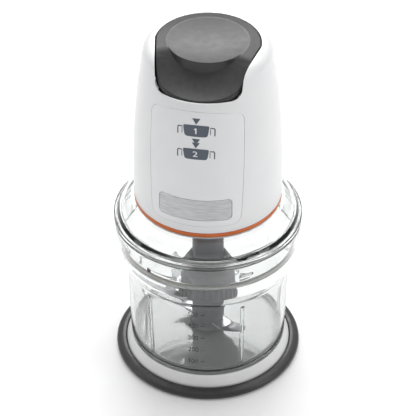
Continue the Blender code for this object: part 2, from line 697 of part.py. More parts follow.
def make_bottom_plate():
    flange = HOUSING_RADIUS - 0.6
    spigot = HOUSING_RADIUS - 2.6 - GAP
    floor = UNIT_Z + 2.4
    bottom = turned("bottom_plate", WHITE_PLASTIC, [
        (CUP_RADIUS, UNIT_Z),
        (flange, UNIT_Z),
        (flange, UNIT_Z + 1.0),
        (spigot, UNIT_Z + 1.0),
        (spigot, UNIT_Z + 3.6),
        (spigot - 2.0, UNIT_Z + 3.6),
        (spigot - 2.0, floor),
        (CUP_RADIUS + 2.2, floor),
        (CUP_RADIUS + 2.2, CUP_TOP_Z),
        (7.2, CUP_TOP_Z),
        (7.2, CUP_TOP_Z - 2.1),
        (CUP_RADIUS, CUP_TOP_Z - 2.1),
    ], LARGE_STEPS)
    pillars, holes = [], []
    for i, angle in enumerate(pillar_angles()):
        x, y = around(PILLAR_ORBIT, angle)
        pillars.append(turned(f"pillar_guide_{i + 1}", None, [
            (0, UNIT_Z + 0.6),
            (PILLAR_RADIUS, UNIT_Z + 0.6),
            (PILLAR_RADIUS, FRAME_Z - GAP),
            (0, FRAME_Z - GAP),
        ], TINY_STEPS, at=(x, y, 0)))
        holes.append(turned(f"pillar_hole_guide_{i + 1}", None, [
            (0, UNIT_Z - 2), (3.9, UNIT_Z - 2), (3.9, UNIT_Z + 2.6), (2.1, UNIT_Z + 2.6), (2.1, FRAME_Z + 2),
            (0, FRAME_Z + 2),
        ], TINY_STEPS, at=(x, y, 0)))
        turned(f"bottom_screw_{i + 1}", STEEL, [
            (0, UNIT_Z + 0.3), (3.5, UNIT_Z + 0.3), (3.5, UNIT_Z + 2.3),
            (1.7, UNIT_Z + 2.3), (1.7, FRAME_Z + 2.2), (0, FRAME_Z + 2.2),
        ], TINY_STEPS, at=(x, y, 0))
    for side in (-1, 1):
        holes.append(block(
            f"key_slot_guide_{side + 2}", None,
            (side * KEY_X - 4.5, -2, UNIT_Z - 2), (side * KEY_X + 4.5, 2, UNIT_Z + 5),
        ))
    vent_orbit = (CUP_RADIUS + HOUSING_RADIUS) / 2
    for i in range(8):
        x, y = around(vent_orbit, 45 * i + 22.5)
        holes.append(turned(f"vent_guide_{i + 1}", None, [
            (0, UNIT_Z - 2), (2.6, UNIT_Z - 2), (2.6, UNIT_Z + 5), (0, UNIT_Z + 5),
        ], 8, at=(x, y, 0)))
    fused(bottom, *pillars)
    cut(bottom, *holes)


# Power unit: button and switch --------------------------------------------------------------------

TONGUE_TIP = BUTTON_RADIUS - 6.6  # half width of the button's tongue where it meets the housing's front


def button_reach(angle, front):
    """The button's outline from above: its radius at an angle from the front.

    It is round behind. The sides run straight from the widest point to the tongue's tip, and the front
    follows the wall's inside; the two are blended with a high power so that the corners come out round."""
    tip_depth = math.sqrt(float(housing_radius(OPENING_FOOT_Z)) ** 2 - TONGUE_TIP**2)
    across, along = tip_depth, BUTTON_RADIUS - TONGUE_TIP
    size = math.hypot(across, along)
    normal = across / size, along / size
    towards_side = normal[0] * np.abs(np.sin(angle)) + normal[1] * np.cos(angle)
    side = BUTTON_RADIUS * normal[0] / np.clip(towards_side, 0.2, None)
    blended = (side**-14.0 + float(front) ** -14.0) ** (-1 / 14.0)
    return np.where(np.cos(angle) > 0, np.minimum(blended, np.maximum(side, BUTTON_RADIUS)), BUTTON_RADIUS)


def tongue_front():
    """How far forward the button's tongue reaches: to the thin lip of the housing that it runs behind."""
    return float(housing_radius(OPENING_FOOT_Z)) - OPENING_LIP - BUTTON_GAP


def plan_prism(name, gap, low, high, front):
    angles = np.arange(LARGE_STEPS) * 2 * math.pi / LARGE_STEPS
    reach = button_reach(angles, front) + gap
    points = [(r * math.sin(a), -r * math.cos(a)) for r, a in zip(reach, angles)]
    return plate(name, None, [points], low, high)


def front_guide():
    """What the opening looks like from the front: its two bottom corners are round."""
    corner = 6.5
    low = OPENING_FOOT_Z
    half = TONGUE_TIP + BUTTON_GAP
    wide = BUTTON_RADIUS + 4
    turns = np.radians(np.linspace(-90, 0, 5))
    right = [(half - corner + corner * math.cos(a), low + corner + corner * math.sin(a)) for a in turns]
    right += [(wide, low + corner + 6), (wide, HOUSING_TOP_Z + 12)]
    left = [(-x, z) for x, z in reversed(right)]
    return plate(
        "opening_front_guide", None, [right + left], -HOUSING_RADIUS, HOUSING_RADIUS, turn=(90, 0, 0),
    )


def fold_drop(y):
    """How far the face has bent down in front of FOLD_Y: the fold's slope, added up along y."""
    along = np.linspace(0, FOLD_REACH[-1] + 6, 145)
    slope = np.interp(along, FOLD_REACH, FOLD_SLOPE)
    steps = (slope[1:] + slope[:-1]) / 2 * np.diff(along)
    drop = np.concatenate([[0], np.cumsum(steps)])
    return np.interp(FOLD_Y - y, along, drop)


def button_top(x, y):
    """Height of the button's face: a level dish, a ring round it that falls gently, and a fold in front.

    The dish stays level where the face round it folds down, so its front edge stands up as a lip."""
    radius = np.hypot(x, y)
    lip = HOUSING_TOP_Z + BUTTON_RISE
    dish = DISH_DEPTH * np.clip(1 - (radius / DISH_RADIUS) ** 2, 0, None)
    beyond = np.clip(radius - DISH_RADIUS - LIP_WIDTH, 0, None)
    level = np.clip(1 - (FOLD_Y - y) / 8, 0, 1)
    around_dish = lip - CROWN_SLOPE * level * beyond - fold_drop(y)
    return np.where(radius < DISH_RADIUS + LIP_WIDTH / 2, lip - dish, around_dish)


def make_button():
    angles = np.arange(LARGE_STEPS) * 2 * math.pi / LARGE_STEPS
    reach = button_reach(angles, tongue_front())
    inner_reach = reach - BUTTON_WALL

    def ring(radius, height=None):
        x = radius * np.sin(angles)
        y = -radius * np.cos(angles)
        z = button_top(x, y) if height is None else np.full_like(x, height)
        return np.stack([x, y, z], axis=-1)

    def under(points, lowered=0.0):
        points[:, 2] -= BUTTON_WALL + lowered
        return points

    ones = np.ones_like(angles)
    stem = STEM_RADIUS * ones
    foot_of_lip = (DISH_RADIUS + LIP_WIDTH) * ones
    outside = [
        ring(0.02 * ones),
        ring(0.45 * DISH_RADIUS * ones),
        ring(0.8 * DISH_RADIUS * ones),
        ring(DISH_RADIUS * ones),
        ring(foot_of_lip),
        ring(foot_of_lip + 0.33 * (reach - foot_of_lip)),
        ring(foot_of_lip + 0.66 * (reach - foot_of_lip)),
        ring(reach),
        ring(reach, BUTTON_FOOT_Z),
    ]
    inner_lip = (DISH_RADIUS - BUTTON_WALL) * ones
    under_lip = under(ring(foot_of_lip))
    under_lip[:, :2] *= (inner_lip / foot_of_lip)[:, None]
    inside = [
        ring(0.02 * ones, STEM_FOOT_Z),
        ring(stem, STEM_FOOT_Z),
        under(ring(stem + 0.01)),
        under(ring(0.8 * DISH_RADIUS * ones)),
        under(ring(inner_lip - 0.4)),
        under_lip,
        under(ring(foot_of_lip + 0.33 * (inner_reach - foot_of_lip))),
        under(ring(inner_reach)),
        ring(inner_reach, BUTTON_FOOT_Z),
    ]
    return sheet_solid("button", DARK_PLASTIC, np.array(outside), np.array(inside), wrap=True)


STEM_RADIUS = 3.6
SWITCH_Z = BRACKET_Z + 6.6
STEM_FOOT_Z = HOUSING_TOP_Z - 8.6
SWITCH_TOP_Z = STEM_FOOT_Z - BUTTON_TRAVEL - 0.5


def make_switch():
    turned("switch_plunger", NYLON, [
        (0, STEM_FOOT_Z - GAP - 7.7),
        (1.9, STEM_FOOT_Z - GAP - 7.7),
        (1.9, STEM_FOOT_Z - GAP),
        (0, STEM_FOOT_Z - GAP),
    ], TINY_STEPS)
    body = [(-10, -6), (10, -6), (10, 6), (-10, 6)]
    bore = round_loop(1.9 + RUN, TINY_STEPS)
    plate("speed_switch", DARK_PLASTIC, [body, bore], SWITCH_Z + GAP, SWITCH_TOP_Z)
    make_spring()


def make_spring():
    """The return spring round the button's stem, between the switch block and the underside of the button."""
    turns, coil, wire, sides, per_turn = 4, 6.4, 0.5, 4, 10
    count = turns * per_turn + 1
    low = SWITCH_TOP_Z + GAP + wire
    high = HOUSING_TOP_Z + BUTTON_RISE - DISH_DEPTH - BUTTON_WALL - GAP - wire - 0.2
    along = np.linspace(0, 1, count)
    angle = 2 * math.pi * turns * along
    centre = np.stack([coil * np.cos(angle), coil * np.sin(angle), low + (high - low) * along], axis=-1)
    outward = np.stack([np.cos(angle), np.sin(angle), 0 * angle], axis=-1)
    up = np.array([0, 0, 1.0])
    bm = bmesh.new()
    rings = []
    for point, side in zip(centre, outward):
        turn = np.arange(sides) * 2 * math.pi / sides
        rings.append([bm.verts.new(point + wire * (math.cos(t) * side + math.sin(t) * up)) for t in turn])
    for one, two in zip(rings, rings[1:]):
        for j in range(sides):
            k = (j + 1) % sides
            bm.faces.new((one[j], one[k], two[k], two[j]))
    bm.faces.new(rings[0])
    bm.faces.new(rings[-1])
    finished(bm, "button_spring", STEEL)


# Motor --------------------------------------------------------------------------------------------

ARMATURE_RADIUS = 15.8
POLE_RADIUS = 16.6
STATOR_X, STATOR_Y = 33.0, 27.0
MOTOR_SCREW_X = 29.3


def make_motor():
    rotor = axis_empty("motor_axis", (0, 0, 0))
    stack = STATOR_TOP_Z - STATOR_Z
    pole = [(POLE_RADIUS * math.cos(a), POLE_RADIUS * math.sin(a)) for a in np.radians(np.linspace(0, 48, 6))]
    quarter = pole + [(12.0, 14.0), (25.3, 14.0), (25.3, 21.6), (0, 21.6)]
    top_half = quarter + [(-x, y) for x, y in reversed(quarter[:-1])]
    hollow = top_half + [(x, -y) for x, y in reversed(top_half[1:-1])]
    chamfer = 6
    outside = [
        (STATOR_X, -STATOR_Y + chamfer), (STATOR_X, STATOR_Y - chamfer), (STATOR_X - chamfer, STATOR_Y),
        (-STATOR_X + chamfer, STATOR_Y), (-STATOR_X, STATOR_Y - chamfer), (-STATOR_X, -STATOR_Y + chamfer),
        (-STATOR_X + chamfer, -STATOR_Y), (STATOR_X - chamfer, -STATOR_Y),
    ]
    screw_holes = [round_loop(2.0, 8, (side * MOTOR_SCREW_X, 0)) for side in (-1, 1)]
    plate("stator_core", LAMINATION, [outside, hollow, *screw_holes], STATOR_Z, STATOR_TOP_Z)
    coil_out, coil_in = 21.2, 14.4
    for side, name in ((-1, "field_coil_left"), (1, "field_coil_right")):
        half = stack / 2
        frame_outer = [(-coil_out, -half - 6), (-coil_out + 3, -half - 6.8), (coil_out - 3, -half - 6.8),
                       (coil_out, -half - 6), (coil_out, half + 6), (coil_out - 3, half + 6.8),
                       (-coil_out + 3, half + 6.8), (-coil_out, half + 6)]
        end = half + 0.4
        frame_inner = [(-coil_in, -end), (coil_in, -end), (coil_in, end), (-coil_in, end)]
        plate(
            name, COPPER, [frame_outer, frame_inner], -3.1, 3.1,
            at=(side * 21.9, 0, (STATOR_Z + STATOR_TOP_Z) / 2), turn=(90, 0, 90),
        )
    shaft_top = BRACKET_Z + 6.2
    turned("armature_shaft", STEEL, [
        (0, GEAR_Z - 0.4), (2.4, GEAR_Z - 0.4), (2.4, FRAME_Z - 0.8), (3.0, FRAME_Z - 0.8), (3.0, shaft_top),
        (0, shaft_top),
    ], TINY_STEPS, parent=rotor)
    bore = 3.0 + GAP
    sleeves = (
        ("armature_core", LAMINATION, ARMATURE_RADIUS, STATOR_Z, STATOR_TOP_Z),
        ("lower_winding", COPPER, 13.0, STATOR_Z - 5.6, STATOR_Z - GAP),
        ("upper_winding", COPPER, 13.0, STATOR_TOP_Z + GAP, STATOR_TOP_Z + 5.4),
        ("commutator", BRASS, 8.5, STATOR_TOP_Z + 6.0, STATOR_TOP_Z + 14.6),
    )
    for name, finish, radius, low, high in sleeves:
        steps = 12 if radius < 10 else 20
        plate(name, finish, [round_loop(radius, steps), round_loop(bore, 8)], low, high, parent=rotor)
    make_fan(rotor, bore)
    for name, low in (("lower_bearing", FRAME_Z + 1.3), ("upper_bearing", BRACKET_Z + 1.3)):
        plate(name, STEEL, [round_loop(8.0, 16), round_loop(3.25, 12)], low, low + 4.6)
    make_frame()
    make_upper_bracket()
    make_brushes()
    block("circuit_board", CIRCUIT, (-14, STATOR_Y + 4, STATOR_Z + 2), (14, STATOR_Y + 5.6, STATOR_TOP_Z + 4))


def make_fan(rotor, bore):
    """The cooling fan under the armature: a disc with radial vanes standing on it."""
    fan_disc = [round_loop(24, 20), round_loop(bore, 8)]
    fan = plate("cooling_fan", NYLON, fan_disc, FAN_Z, FAN_Z + 1.5, parent=rotor)
    vanes = []
    for i in range(8):
        vanes.append(block(
            f"vane_guide_{i + 1}", None, (8, -0.6, FAN_Z + 1), (23.3, 0.6, FAN_Z + 5.6), turn=(0, 0, 45 * i),
            parent=rotor,
        ))
    fused(fan, *vanes)


def make_frame():
    """The motor's lower frame: a disc on the housing's ledge with the lower bearing's seat and two posts."""
    screws = [round_loop(2.1, 8, around(PILLAR_ORBIT, a)) for a in pillar_angles()]
    vents = [round_loop(5.0, 10, around(33, a)) for a in (0, 30, 130, 160, 230, 330)]
    disc = HOUSING_RADIUS - HOUSING_WALL - 0.9
    frame = plate(
        "motor_frame", DARK_PLASTIC, [round_loop(disc, LARGE_STEPS), round_loop(4.0, 12), *screws, *vents],
        FRAME_Z, FRAME_Z + 2.5,
    )
    seat_ring = [round_loop(11, 20), round_loop(4.4, 12)]
    seat = plate("bearing_seat_guide", None, seat_ring, FRAME_Z + 0.5, FRAME_Z + 6.2)
    bore = plate("bearing_bore_guide", None, [round_loop(8.3, 16)], FRAME_Z + 1.0, FRAME_Z + 8)
    posts = [block(
        f"post_guide_{side + 2}", None, (side * MOTOR_SCREW_X - 3.2, -6, FRAME_Z + 1),
        (side * MOTOR_SCREW_X + 3.2, 6, STATOR_Z - GAP),
    ) for side in (-1, 1)]
    holes = [plate(
        f"post_hole_guide_{side + 2}", None, [round_loop(2.0, 8, (side * MOTOR_SCREW_X, 0))], FRAME_Z + 4,
        STATOR_Z + 2,
    ) for side in (-1, 1)]
    fused(frame, seat, *posts)
    cut(frame, bore, *holes)


def make_upper_bracket():
    """The bridge over the motor that holds the upper bearing, the brush holders and the switch."""
    half = MOTOR_SCREW_X + 2.2
    bridge = plate("upper_bracket", DARK_PLASTIC, [
        [(-half, -7), (half, -7), (half, 7), (-half, 7)], round_loop(4.0, 12),
    ], BRACKET_Z, BRACKET_Z + 2.6)
    seat_ring = [round_loop(11, 20), round_loop(4.4, 12)]
    seat = plate("upper_seat_guide", None, seat_ring, BRACKET_Z + 0.5, BRACKET_Z + 6.2)
    posts = [block(
        f"upper_post_guide_{side + 2}", None, (side * MOTOR_SCREW_X - 2.2, -6, STATOR_TOP_Z + GAP),
        (side * MOTOR_SCREW_X + 2.2, 6, BRACKET_Z + 1),
    ) for side in (-1, 1)]
    shelf = [block(
        f"shelf_guide_{side + 2}", None,
        (side * 11.4 - 2.4, -5, BRACKET_Z + 1), (side * 11.4 + 2.4, 5, SWITCH_Z),
    ) for side in (-1, 1)]
    bore = plate("upper_bore_guide", None, [round_loop(8.3, 16)], BRACKET_Z + 1.0, BRACKET_Z + 20)
    holes = [plate(
        f"upper_hole_guide_{side + 2}", None, [round_loop(2.0, 8, (side * MOTOR_SCREW_X, 0))],
        STATOR_TOP_Z - 2, BRACKET_Z + 8,
    ) for side in (-1, 1)]
    fused(bridge, seat, *posts, *shelf)
    cut(bridge, bore, *holes)
    for side, name in ((-1, "motor_screw_left"), (1, "motor_screw_right")):
        head = BRACKET_Z + 2.6 + GAP
        turned(name, STEEL, [
            (0, FRAME_Z + 4.4), (1.6, FRAME_Z + 4.4), (1.6, head),
            (3.0, head), (3.0, head + 1.8), (0, head + 1.8),
        ], 8, at=(side * MOTOR_SCREW_X, 0, 0))


def make_brushes():
    level = STATOR_TOP_Z + 10.3
    for side, name in ((-1, "front"), (1, "rear")):
        square = [(-3.4, -3.4), (3.4, -3.4), (3.4, 3.4), (-3.4, 3.4)]
        bore = [(-2.4, -2.4), (2.4, -2.4), (2.4, 2.4), (-2.4, 2.4)]
        carbon = [(-2.1, -2.1), (2.1, -2.1), (2.1, 2.1), (-2.1, 2.1)]
        place = {"at": (0, 0, level), "turn": (-90 * side, 0, 0)}
        plate(f"brush_holder_{name}", BRASS, [square, bore], 11.5, 25, **place)
        plate(f"brush_{name}", CARBON, [carbon], 8.9, 19, **place)


# Planetary gearbox --------------------------------------------------------------------------------


def involute(angle):
    return math.tan(angle) - angle


def flank_angle(teeth, radius, backlash):
    """Half of a tooth's width at a radius, as an angle: the base circle's involute, and straight below it."""
    pitch = MODULE * teeth / 2
    base = pitch * math.cos(PRESSURE_ANGLE)
    at_radius = math.acos(min(1.0, base / radius))
    return math.pi / (2 * teeth) - backlash / (2 * pitch) + involute(PRESSURE_ANGLE) - involute(at_radius)


def gear_loop(teeth, first, inner, outer, backlash):
    """A gear's outline, with the centre of a tooth at the first angle (radians)."""
    pitch = MODULE * teeth / 2
    radii = (inner, pitch, outer)
    points = []
    for tooth in range(teeth):
        centre = first + 2 * math.pi * tooth / teeth
        for radius in radii:
            a = centre - flank_angle(teeth, radius, backlash)
            points.append((radius * math.cos(a), radius * math.sin(a)))
        for radius in reversed(radii):
            a = centre + flank_angle(teeth, radius, backlash)
            points.append((radius * math.cos(a), radius * math.sin(a)))
    return points


def make_gearbox():
    addendum, dedendum = 0.72 * MODULE, 1.1 * MODULE
    sun, planet, ring = (MODULE * n / 2 for n in (SUN_TEETH, PLANET_TEETH, RING_TEETH))
    low, high = GEAR_Z, GEAR_Z + GEAR_WIDTH
    rotor = bpy.data.objects["motor_axis"]
    plate("sun_pinion", STEEL, [
        gear_loop(SUN_TEETH, 0, sun - dedendum, sun + addendum, BACKLASH), round_loop(2.4 + GAP, 8),
    ], low, high, parent=rotor)
    output = axis_empty("carrier_axis", (0, 0, 0))
    carrier = turned("planet_carrier", DARK_PLASTIC, [
        (0, CASE_Z - 4.6),
        (4.0, CASE_Z - 4.6),
        (4.0, CARRIER_Z),
        (ORBIT_RADIUS + PIN_RADIUS + 2.2, CARRIER_Z),
        (ORBIT_RADIUS + PIN_RADIUS + 2.2, CARRIER_Z + 2.6),
        (0, CARRIER_Z + 2.6),
    ], SMALL_STEPS, parent=output)
    holes = []
    for k in range(PLANETS):
        around_sun = 2 * math.pi * k / PLANETS
        at = (ORBIT_RADIUS * math.cos(around_sun), ORBIT_RADIUS * math.sin(around_sun), 0)
        # how far the sun's nearest tooth is past the planet's direction, as seen from the planet
        past = -around_sun % (2 * math.pi / SUN_TEETH)
        facing = around_sun + math.pi - past * SUN_TEETH / PLANET_TEETH
        axis = axis_empty(f"planet_axis_{k + 1}", at, output)
        turned_by = facing + math.pi / PLANET_TEETH
        plate(f"planet_gear_{k + 1}", NYLON, [
            gear_loop(PLANET_TEETH, turned_by, planet - dedendum, planet + addendum, BACKLASH),
            round_loop(PIN_RADIUS + 0.25, 12),
        ], low, high, parent=axis)
        turned(f"planet_pin_{k + 1}", STEEL, [
            (0, CARRIER_Z + 0.3), (PIN_RADIUS, CARRIER_Z + 0.3), (PIN_RADIUS, high + 0.8), (0, high + 0.8),
        ], TINY_STEPS, at=at, parent=output)
        holes.append(turned(f"pin_hole_guide_{k + 1}", None, [
            (0, CARRIER_Z - 1), (PIN_RADIUS + 0.15, CARRIER_Z - 1), (PIN_RADIUS + 0.15, CARRIER_Z + 5),
            (0, CARRIER_Z + 5),
        ], TINY_STEPS, at=at, parent=output))
    cut(carrier, *holes)
    # the ring gear's tooth spaces have a tooth's shape; one of them faces a tooth of the first planet
    past = (math.pi + math.pi / PLANET_TEETH) % (2 * math.pi / PLANET_TEETH)
    plate("ring_gear", NYLON, [
        round_loop(RING_GEAR_RADIUS, LARGE_STEPS),
        gear_loop(RING_TEETH, past * PLANET_TEETH / RING_TEETH, ring - addendum, ring + dedendum, -BACKLASH),
    ], low, high)
    case_outer = CASE_INNER + 2.4
    turned("gearbox_case", DARK_PLASTIC, [
        (7.4, CASE_Z),
        (case_outer, CASE_Z),
        (case_outer, FRAME_Z - GAP),
        (CASE_INNER, FRAME_Z - GAP),
        (CASE_INNER, GEAR_Z - GAP),
        (CASE_INNER - 1.2, GEAR_Z - GAP),
        (CASE_INNER - 1.2, CASE_Z + 2.4),
        (7.4, CASE_Z + 2.4),
    ], SMALL_STEPS)
    turned("output_bush", BRASS, [
        (4.0 + 0.15, CASE_Z), (7.1, CASE_Z), (7.1, CASE_Z + 3.4), (4.0 + 0.15, CASE_Z + 3.4),
    ], SMALL_STEPS)
    dog_outer, dog_core = 5.9, 3.1
    collar = turned("drive_coupling", STEEL, [
        (0, SHAFT_TOP_Z + 0.4),
        (6.2, SHAFT_TOP_Z + 0.4),
        (6.2, CASE_Z - 0.6),
        (4.0 + 0.15, CASE_Z - 0.6),
        (4.0 + 0.15, CASE_Z - 4.9),
        (0, CASE_Z - 4.9),
    ], SMALL_STEPS, parent=output)
    teeth = plate(
        "dog_guide", None, [dog_loop(0, dog_core, dog_outer, 90)],
        SHAFT_TOP_Z - 7.6, SHAFT_TOP_Z + 0.8, parent=output,
    )
    fused(collar, teeth)


def main():
    clear_scene()
    make_base()
    make_bowl()
    make_blade_assembly()
    make_cover()
    make_shells()
    make_button()
    make_switch()
    make_motor()
    make_gearbox()


main()
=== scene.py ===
# %% [markdown]
# # A mini food processor, worked out as surfaces
#
# A hand-sized food processor stands on a pale table: a base tray with a rubber ring, a clear bowl with a
# flared collar, a fluted blade hub with two steel blades, a clear domed cover, and a white power unit whose
# dark press button folds down its front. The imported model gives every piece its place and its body. This
# script gives the outer pieces their fine surfaces, and every piece its finish.
#
# Lengths are written in millimetres and turned into metres when a mesh is made. +Z is up, -Y is the front.

# %% Load the frame
import json
import math

import bmesh
import bpy
import numpy as np
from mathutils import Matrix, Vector


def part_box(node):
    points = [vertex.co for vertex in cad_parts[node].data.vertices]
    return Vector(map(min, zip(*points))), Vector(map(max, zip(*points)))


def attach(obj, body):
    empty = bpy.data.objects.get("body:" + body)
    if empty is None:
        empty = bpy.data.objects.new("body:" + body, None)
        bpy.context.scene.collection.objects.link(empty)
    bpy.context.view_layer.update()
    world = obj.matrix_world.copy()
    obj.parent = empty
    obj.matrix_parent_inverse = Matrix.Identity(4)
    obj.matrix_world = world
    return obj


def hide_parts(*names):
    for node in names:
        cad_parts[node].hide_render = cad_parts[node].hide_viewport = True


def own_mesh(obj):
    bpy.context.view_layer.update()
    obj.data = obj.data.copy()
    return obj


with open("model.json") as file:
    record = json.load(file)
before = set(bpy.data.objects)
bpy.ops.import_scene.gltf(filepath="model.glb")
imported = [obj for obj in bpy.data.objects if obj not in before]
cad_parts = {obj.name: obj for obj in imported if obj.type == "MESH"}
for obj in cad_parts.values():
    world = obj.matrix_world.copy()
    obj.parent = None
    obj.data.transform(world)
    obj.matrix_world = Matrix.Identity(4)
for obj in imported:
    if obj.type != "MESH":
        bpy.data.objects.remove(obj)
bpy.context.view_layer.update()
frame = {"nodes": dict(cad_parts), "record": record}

MM = 0.001
nodes = frame["nodes"]


def span(node):
    """The lowest and highest corner of a node, in millimetres."""
    low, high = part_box(node)
    return np.array(low) / MM, np.array(high) / MM


# %% [markdown]
# ## Camera
#
# The object is seen from above and a little from its right, from about a metre and a half away, so that the
# press button, the front panel and the base ring all show. The lens is long, which keeps the sides nearly
# parallel.

# %% Camera
VIEW_TURN = math.radians(10.6)
CAMERA_REACH = 1.1835
CAMERA_HEIGHT = 1.0485
AIM_HEIGHT = 0.1226

camera_data = bpy.data.cameras.new("camera")
camera_data.sensor_width = 36.0
camera_data.lens = 184.7
camera_data.clip_end = 20.0
camera = bpy.data.objects.new("camera", camera_data)
bpy.context.scene.collection.objects.link(camera)
camera.location = (CAMERA_REACH * math.sin(VIEW_TURN), -CAMERA_REACH * math.cos(VIEW_TURN), CAMERA_HEIGHT)
gaze = Vector((0, 0, AIM_HEIGHT)) - camera.location
camera.rotation_euler = gaze.to_track_quat("-Z", "Y").to_euler()
bpy.context.scene.camera = camera
bpy.context.scene.view_settings.view_transform = "Standard"
print(f"camera {gaze.length:.2f} m from the object")

# %% [markdown]
# ## Table and light
#
# White plastic and clear plastic on a white table need soft light with some darkness in it: a clear wall is
# only seen by what it bends and mirrors. The world is bright overhead and greyer towards the horizon, and
# four area lamps draw the long soft bands down the housing.

# %% Table


def stage_plane(name, half):
    """A level square under the object."""
    mesh = bpy.data.meshes.new(name)
    corners = [(-half, -half, 0), (half, -half, 0), (half, half, 0), (-half, half, 0)]
    mesh.from_pydata(corners, [], [(0, 1, 2, 3)])
    made = bpy.data.objects.new(name, mesh)
    bpy.context.scene.collection.objects.link(made)
    return made


table = stage_plane("table", 6.0)
table_finish = bpy.data.materials.new("pale_table")
table_finish.use_nodes = True
table_shader = table_finish.node_tree.nodes["Principled BSDF"]
table_shader.inputs["Base Color"].default_value = (0.99, 0.99, 0.99, 1)
table_shader.inputs["Roughness"].default_value = 0.6
table_shader.inputs["Specular IOR Level"].default_value = 0.2
table.data.materials.append(table_finish)

# %% World and lamps


def make_world(overhead, horizon, front):
    """A world of one grey at the horizon and another overhead, dimmer in front."""
    world = bpy.data.worlds.new("soft_room")
    bpy.context.scene.world = world
    world.use_nodes = True
    tree = world.node_tree
    place = tree.nodes.new("ShaderNodeTexCoord")
    split = tree.nodes.new("ShaderNodeSeparateXYZ")
    tree.links.new(place.outputs["Generated"], split.inputs[0])
    shares = []
    for axis, first, last, low, high in (("Z", 0.0, 0.75, horizon, overhead), ("Y", -0.7, 0.5, front, 1.0)):
        ramp = tree.nodes.new("ShaderNodeMapRange")
        for label, value in zip(("From Min", "From Max", "To Min", "To Max"), (first, last, low, high)):
            ramp.inputs[label].default_value = value
        tree.links.new(split.outputs[axis], ramp.inputs["Value"])
        shares.append(ramp.outputs["Result"])
    product = tree.nodes.new("ShaderNodeMath")
    product.operation = "MULTIPLY"
    for share, socket in zip(shares, product.inputs):
        tree.links.new(share, socket)
    sky = tree.nodes["Background"]
    sky.inputs["Color"].default_value = (1, 1, 1, 1)
    tree.links.new(product.outputs[0], sky.inputs["Strength"])


def area_lamp(name, place, aim, size, power):
    """A soft rectangular lamp that faces a point."""
    data = bpy.data.lights.new(name, "AREA")
    data.shape = "RECTANGLE"
    data.size, data.size_y = size
    data.energy = power
    lamp = bpy.data.objects.new(name, data)
    bpy.context.scene.collection.objects.link(lamp)
    lamp.location = place
    lamp.rotation_euler = (Vector(aim) - Vector(place)).to_track_quat("-Z", "Y").to_euler()


make_world(overhead=0.95, horizon=0.3, front=0.7)
area_lamp("overhead_panel", (0.0, 0.55, 1.7), (0, 0, 0.1), (1.6, 1.0), 12.0)
area_lamp("rear_panel", (-0.25, 1.3, 1.15), (0, 0, 0.2), (0.9, 0.5), 8.5)
area_lamp("right_panel", (1.2, -0.25, 0.62), (0, 0, 0.16), (0.3, 1.0), 2.6)
area_lamp("left_panel", (-1.2, -0.3, 0.6), (0, 0, 0.16), (0.25, 1.0), 1.2)
print("1 world and 4 lamps")

# %% [markdown]
# ## Shapes from grids
#
# Nearly every piece is round about one axis, or a patch of something that is. So a piece is a grid of
# points: one direction follows an outline, the other goes round. Whole arrays are computed at once, and the
# faces between them are the same for every piece.

# %% Meshes from grids


def linked(name, points, faces, smooth_below=42.0):
    """An object at the origin from points in millimetres, doubles merged and faces turned outwards."""
    mesh = bpy.data.meshes.new(name)
    mesh.from_pydata((np.asarray(points, float).reshape(-1, 3) * MM).tolist(), [], faces)
    made = bmesh.new()
    made.from_mesh(mesh)
    bmesh.ops.remove_doubles(made, verts=made.verts, dist=2e-7)
    bmesh.ops.dissolve_degenerate(made, edges=made.edges, dist=1e-7)
    bmesh.ops.recalc_face_normals(made, faces=made.faces)
    made.to_mesh(mesh)
    made.free()
    mesh.shade_smooth()
    mesh.set_sharp_from_angle(angle=math.radians(smooth_below))
    piece = bpy.data.objects.new(name, mesh)
    bpy.context.scene.collection.objects.link(piece)
    return piece


def grid_faces(rows, columns, round_rows, round_columns, start=0):
    """The corners of each cell of a grid, as indices. A round direction joins its last line to its first."""
    i = np.arange(rows if round_rows else rows - 1)
    j = np.arange(columns if round_columns else columns - 1)
    i, j = np.meshgrid(i, j, indexing="ij")
    after_i, after_j = (i + 1) % rows, (j + 1) % columns
    corners = (i * columns + j, i * columns + after_j, after_i * columns + after_j, after_i * columns + j)
    return (np.stack(corners, axis=-1).reshape(-1, 4) + start).tolist()


def grid_piece(name, points, round_rows=False, round_columns=True, **more):
    """A piece from a (rows, columns, 3) grid of points."""
    rows, columns, _ = points.shape
    return linked(name, points, grid_faces(rows, columns, round_rows, round_columns), **more)


# %% Outlines with rounded corners


def rounded(corners, closed=True, steps=4):
    """An outline of (radius, height, fillet) corners, each replaced by an arc that meets both its sides.

    At a corner c with unit directions a and b along its sides, the arc is the curve
    c + a*d*(1-t)^2 + b*d*t^2, where d is the fillet, cut down to half of the shorter side."""
    data = np.array([(*c, 0.0)[:3] for c in corners], float)
    points = []
    count = len(data)
    for k in range(count):
        here, size = data[k, :2], data[k, 2]
        before, after = data[k - 1, :2], data[(k + 1) % count, :2]
        if size <= 0 or (not closed and k in (0, count - 1)):
            points.append(here[None])
            continue
        back, ahead = before - here, after - here
        reach = min(size, 0.49 * np.hypot(*back), 0.49 * np.hypot(*ahead))
        t = np.linspace(0, 1, steps + 1)[:, None]
        near = here + reach * (back / np.hypot(*back) * (1 - t) ** 2 + ahead / np.hypot(*ahead) * t**2)
        points.append(near)
    return np.concatenate(points)


def filled_in(outline, step, closed=True):
    """The outline with extra points, so that no side is longer than step."""
    ends = np.roll(outline, -1, axis=0) if closed else np.concatenate([outline[1:], outline[-1:]])
    pieces = []
    for a, b in zip(outline, ends):
        parts = max(1, int(np.ceil(np.hypot(*(b - a)) / step)))
        pieces.append(a + (b - a) * (np.arange(parts) / parts)[:, None])
    return np.concatenate(pieces)


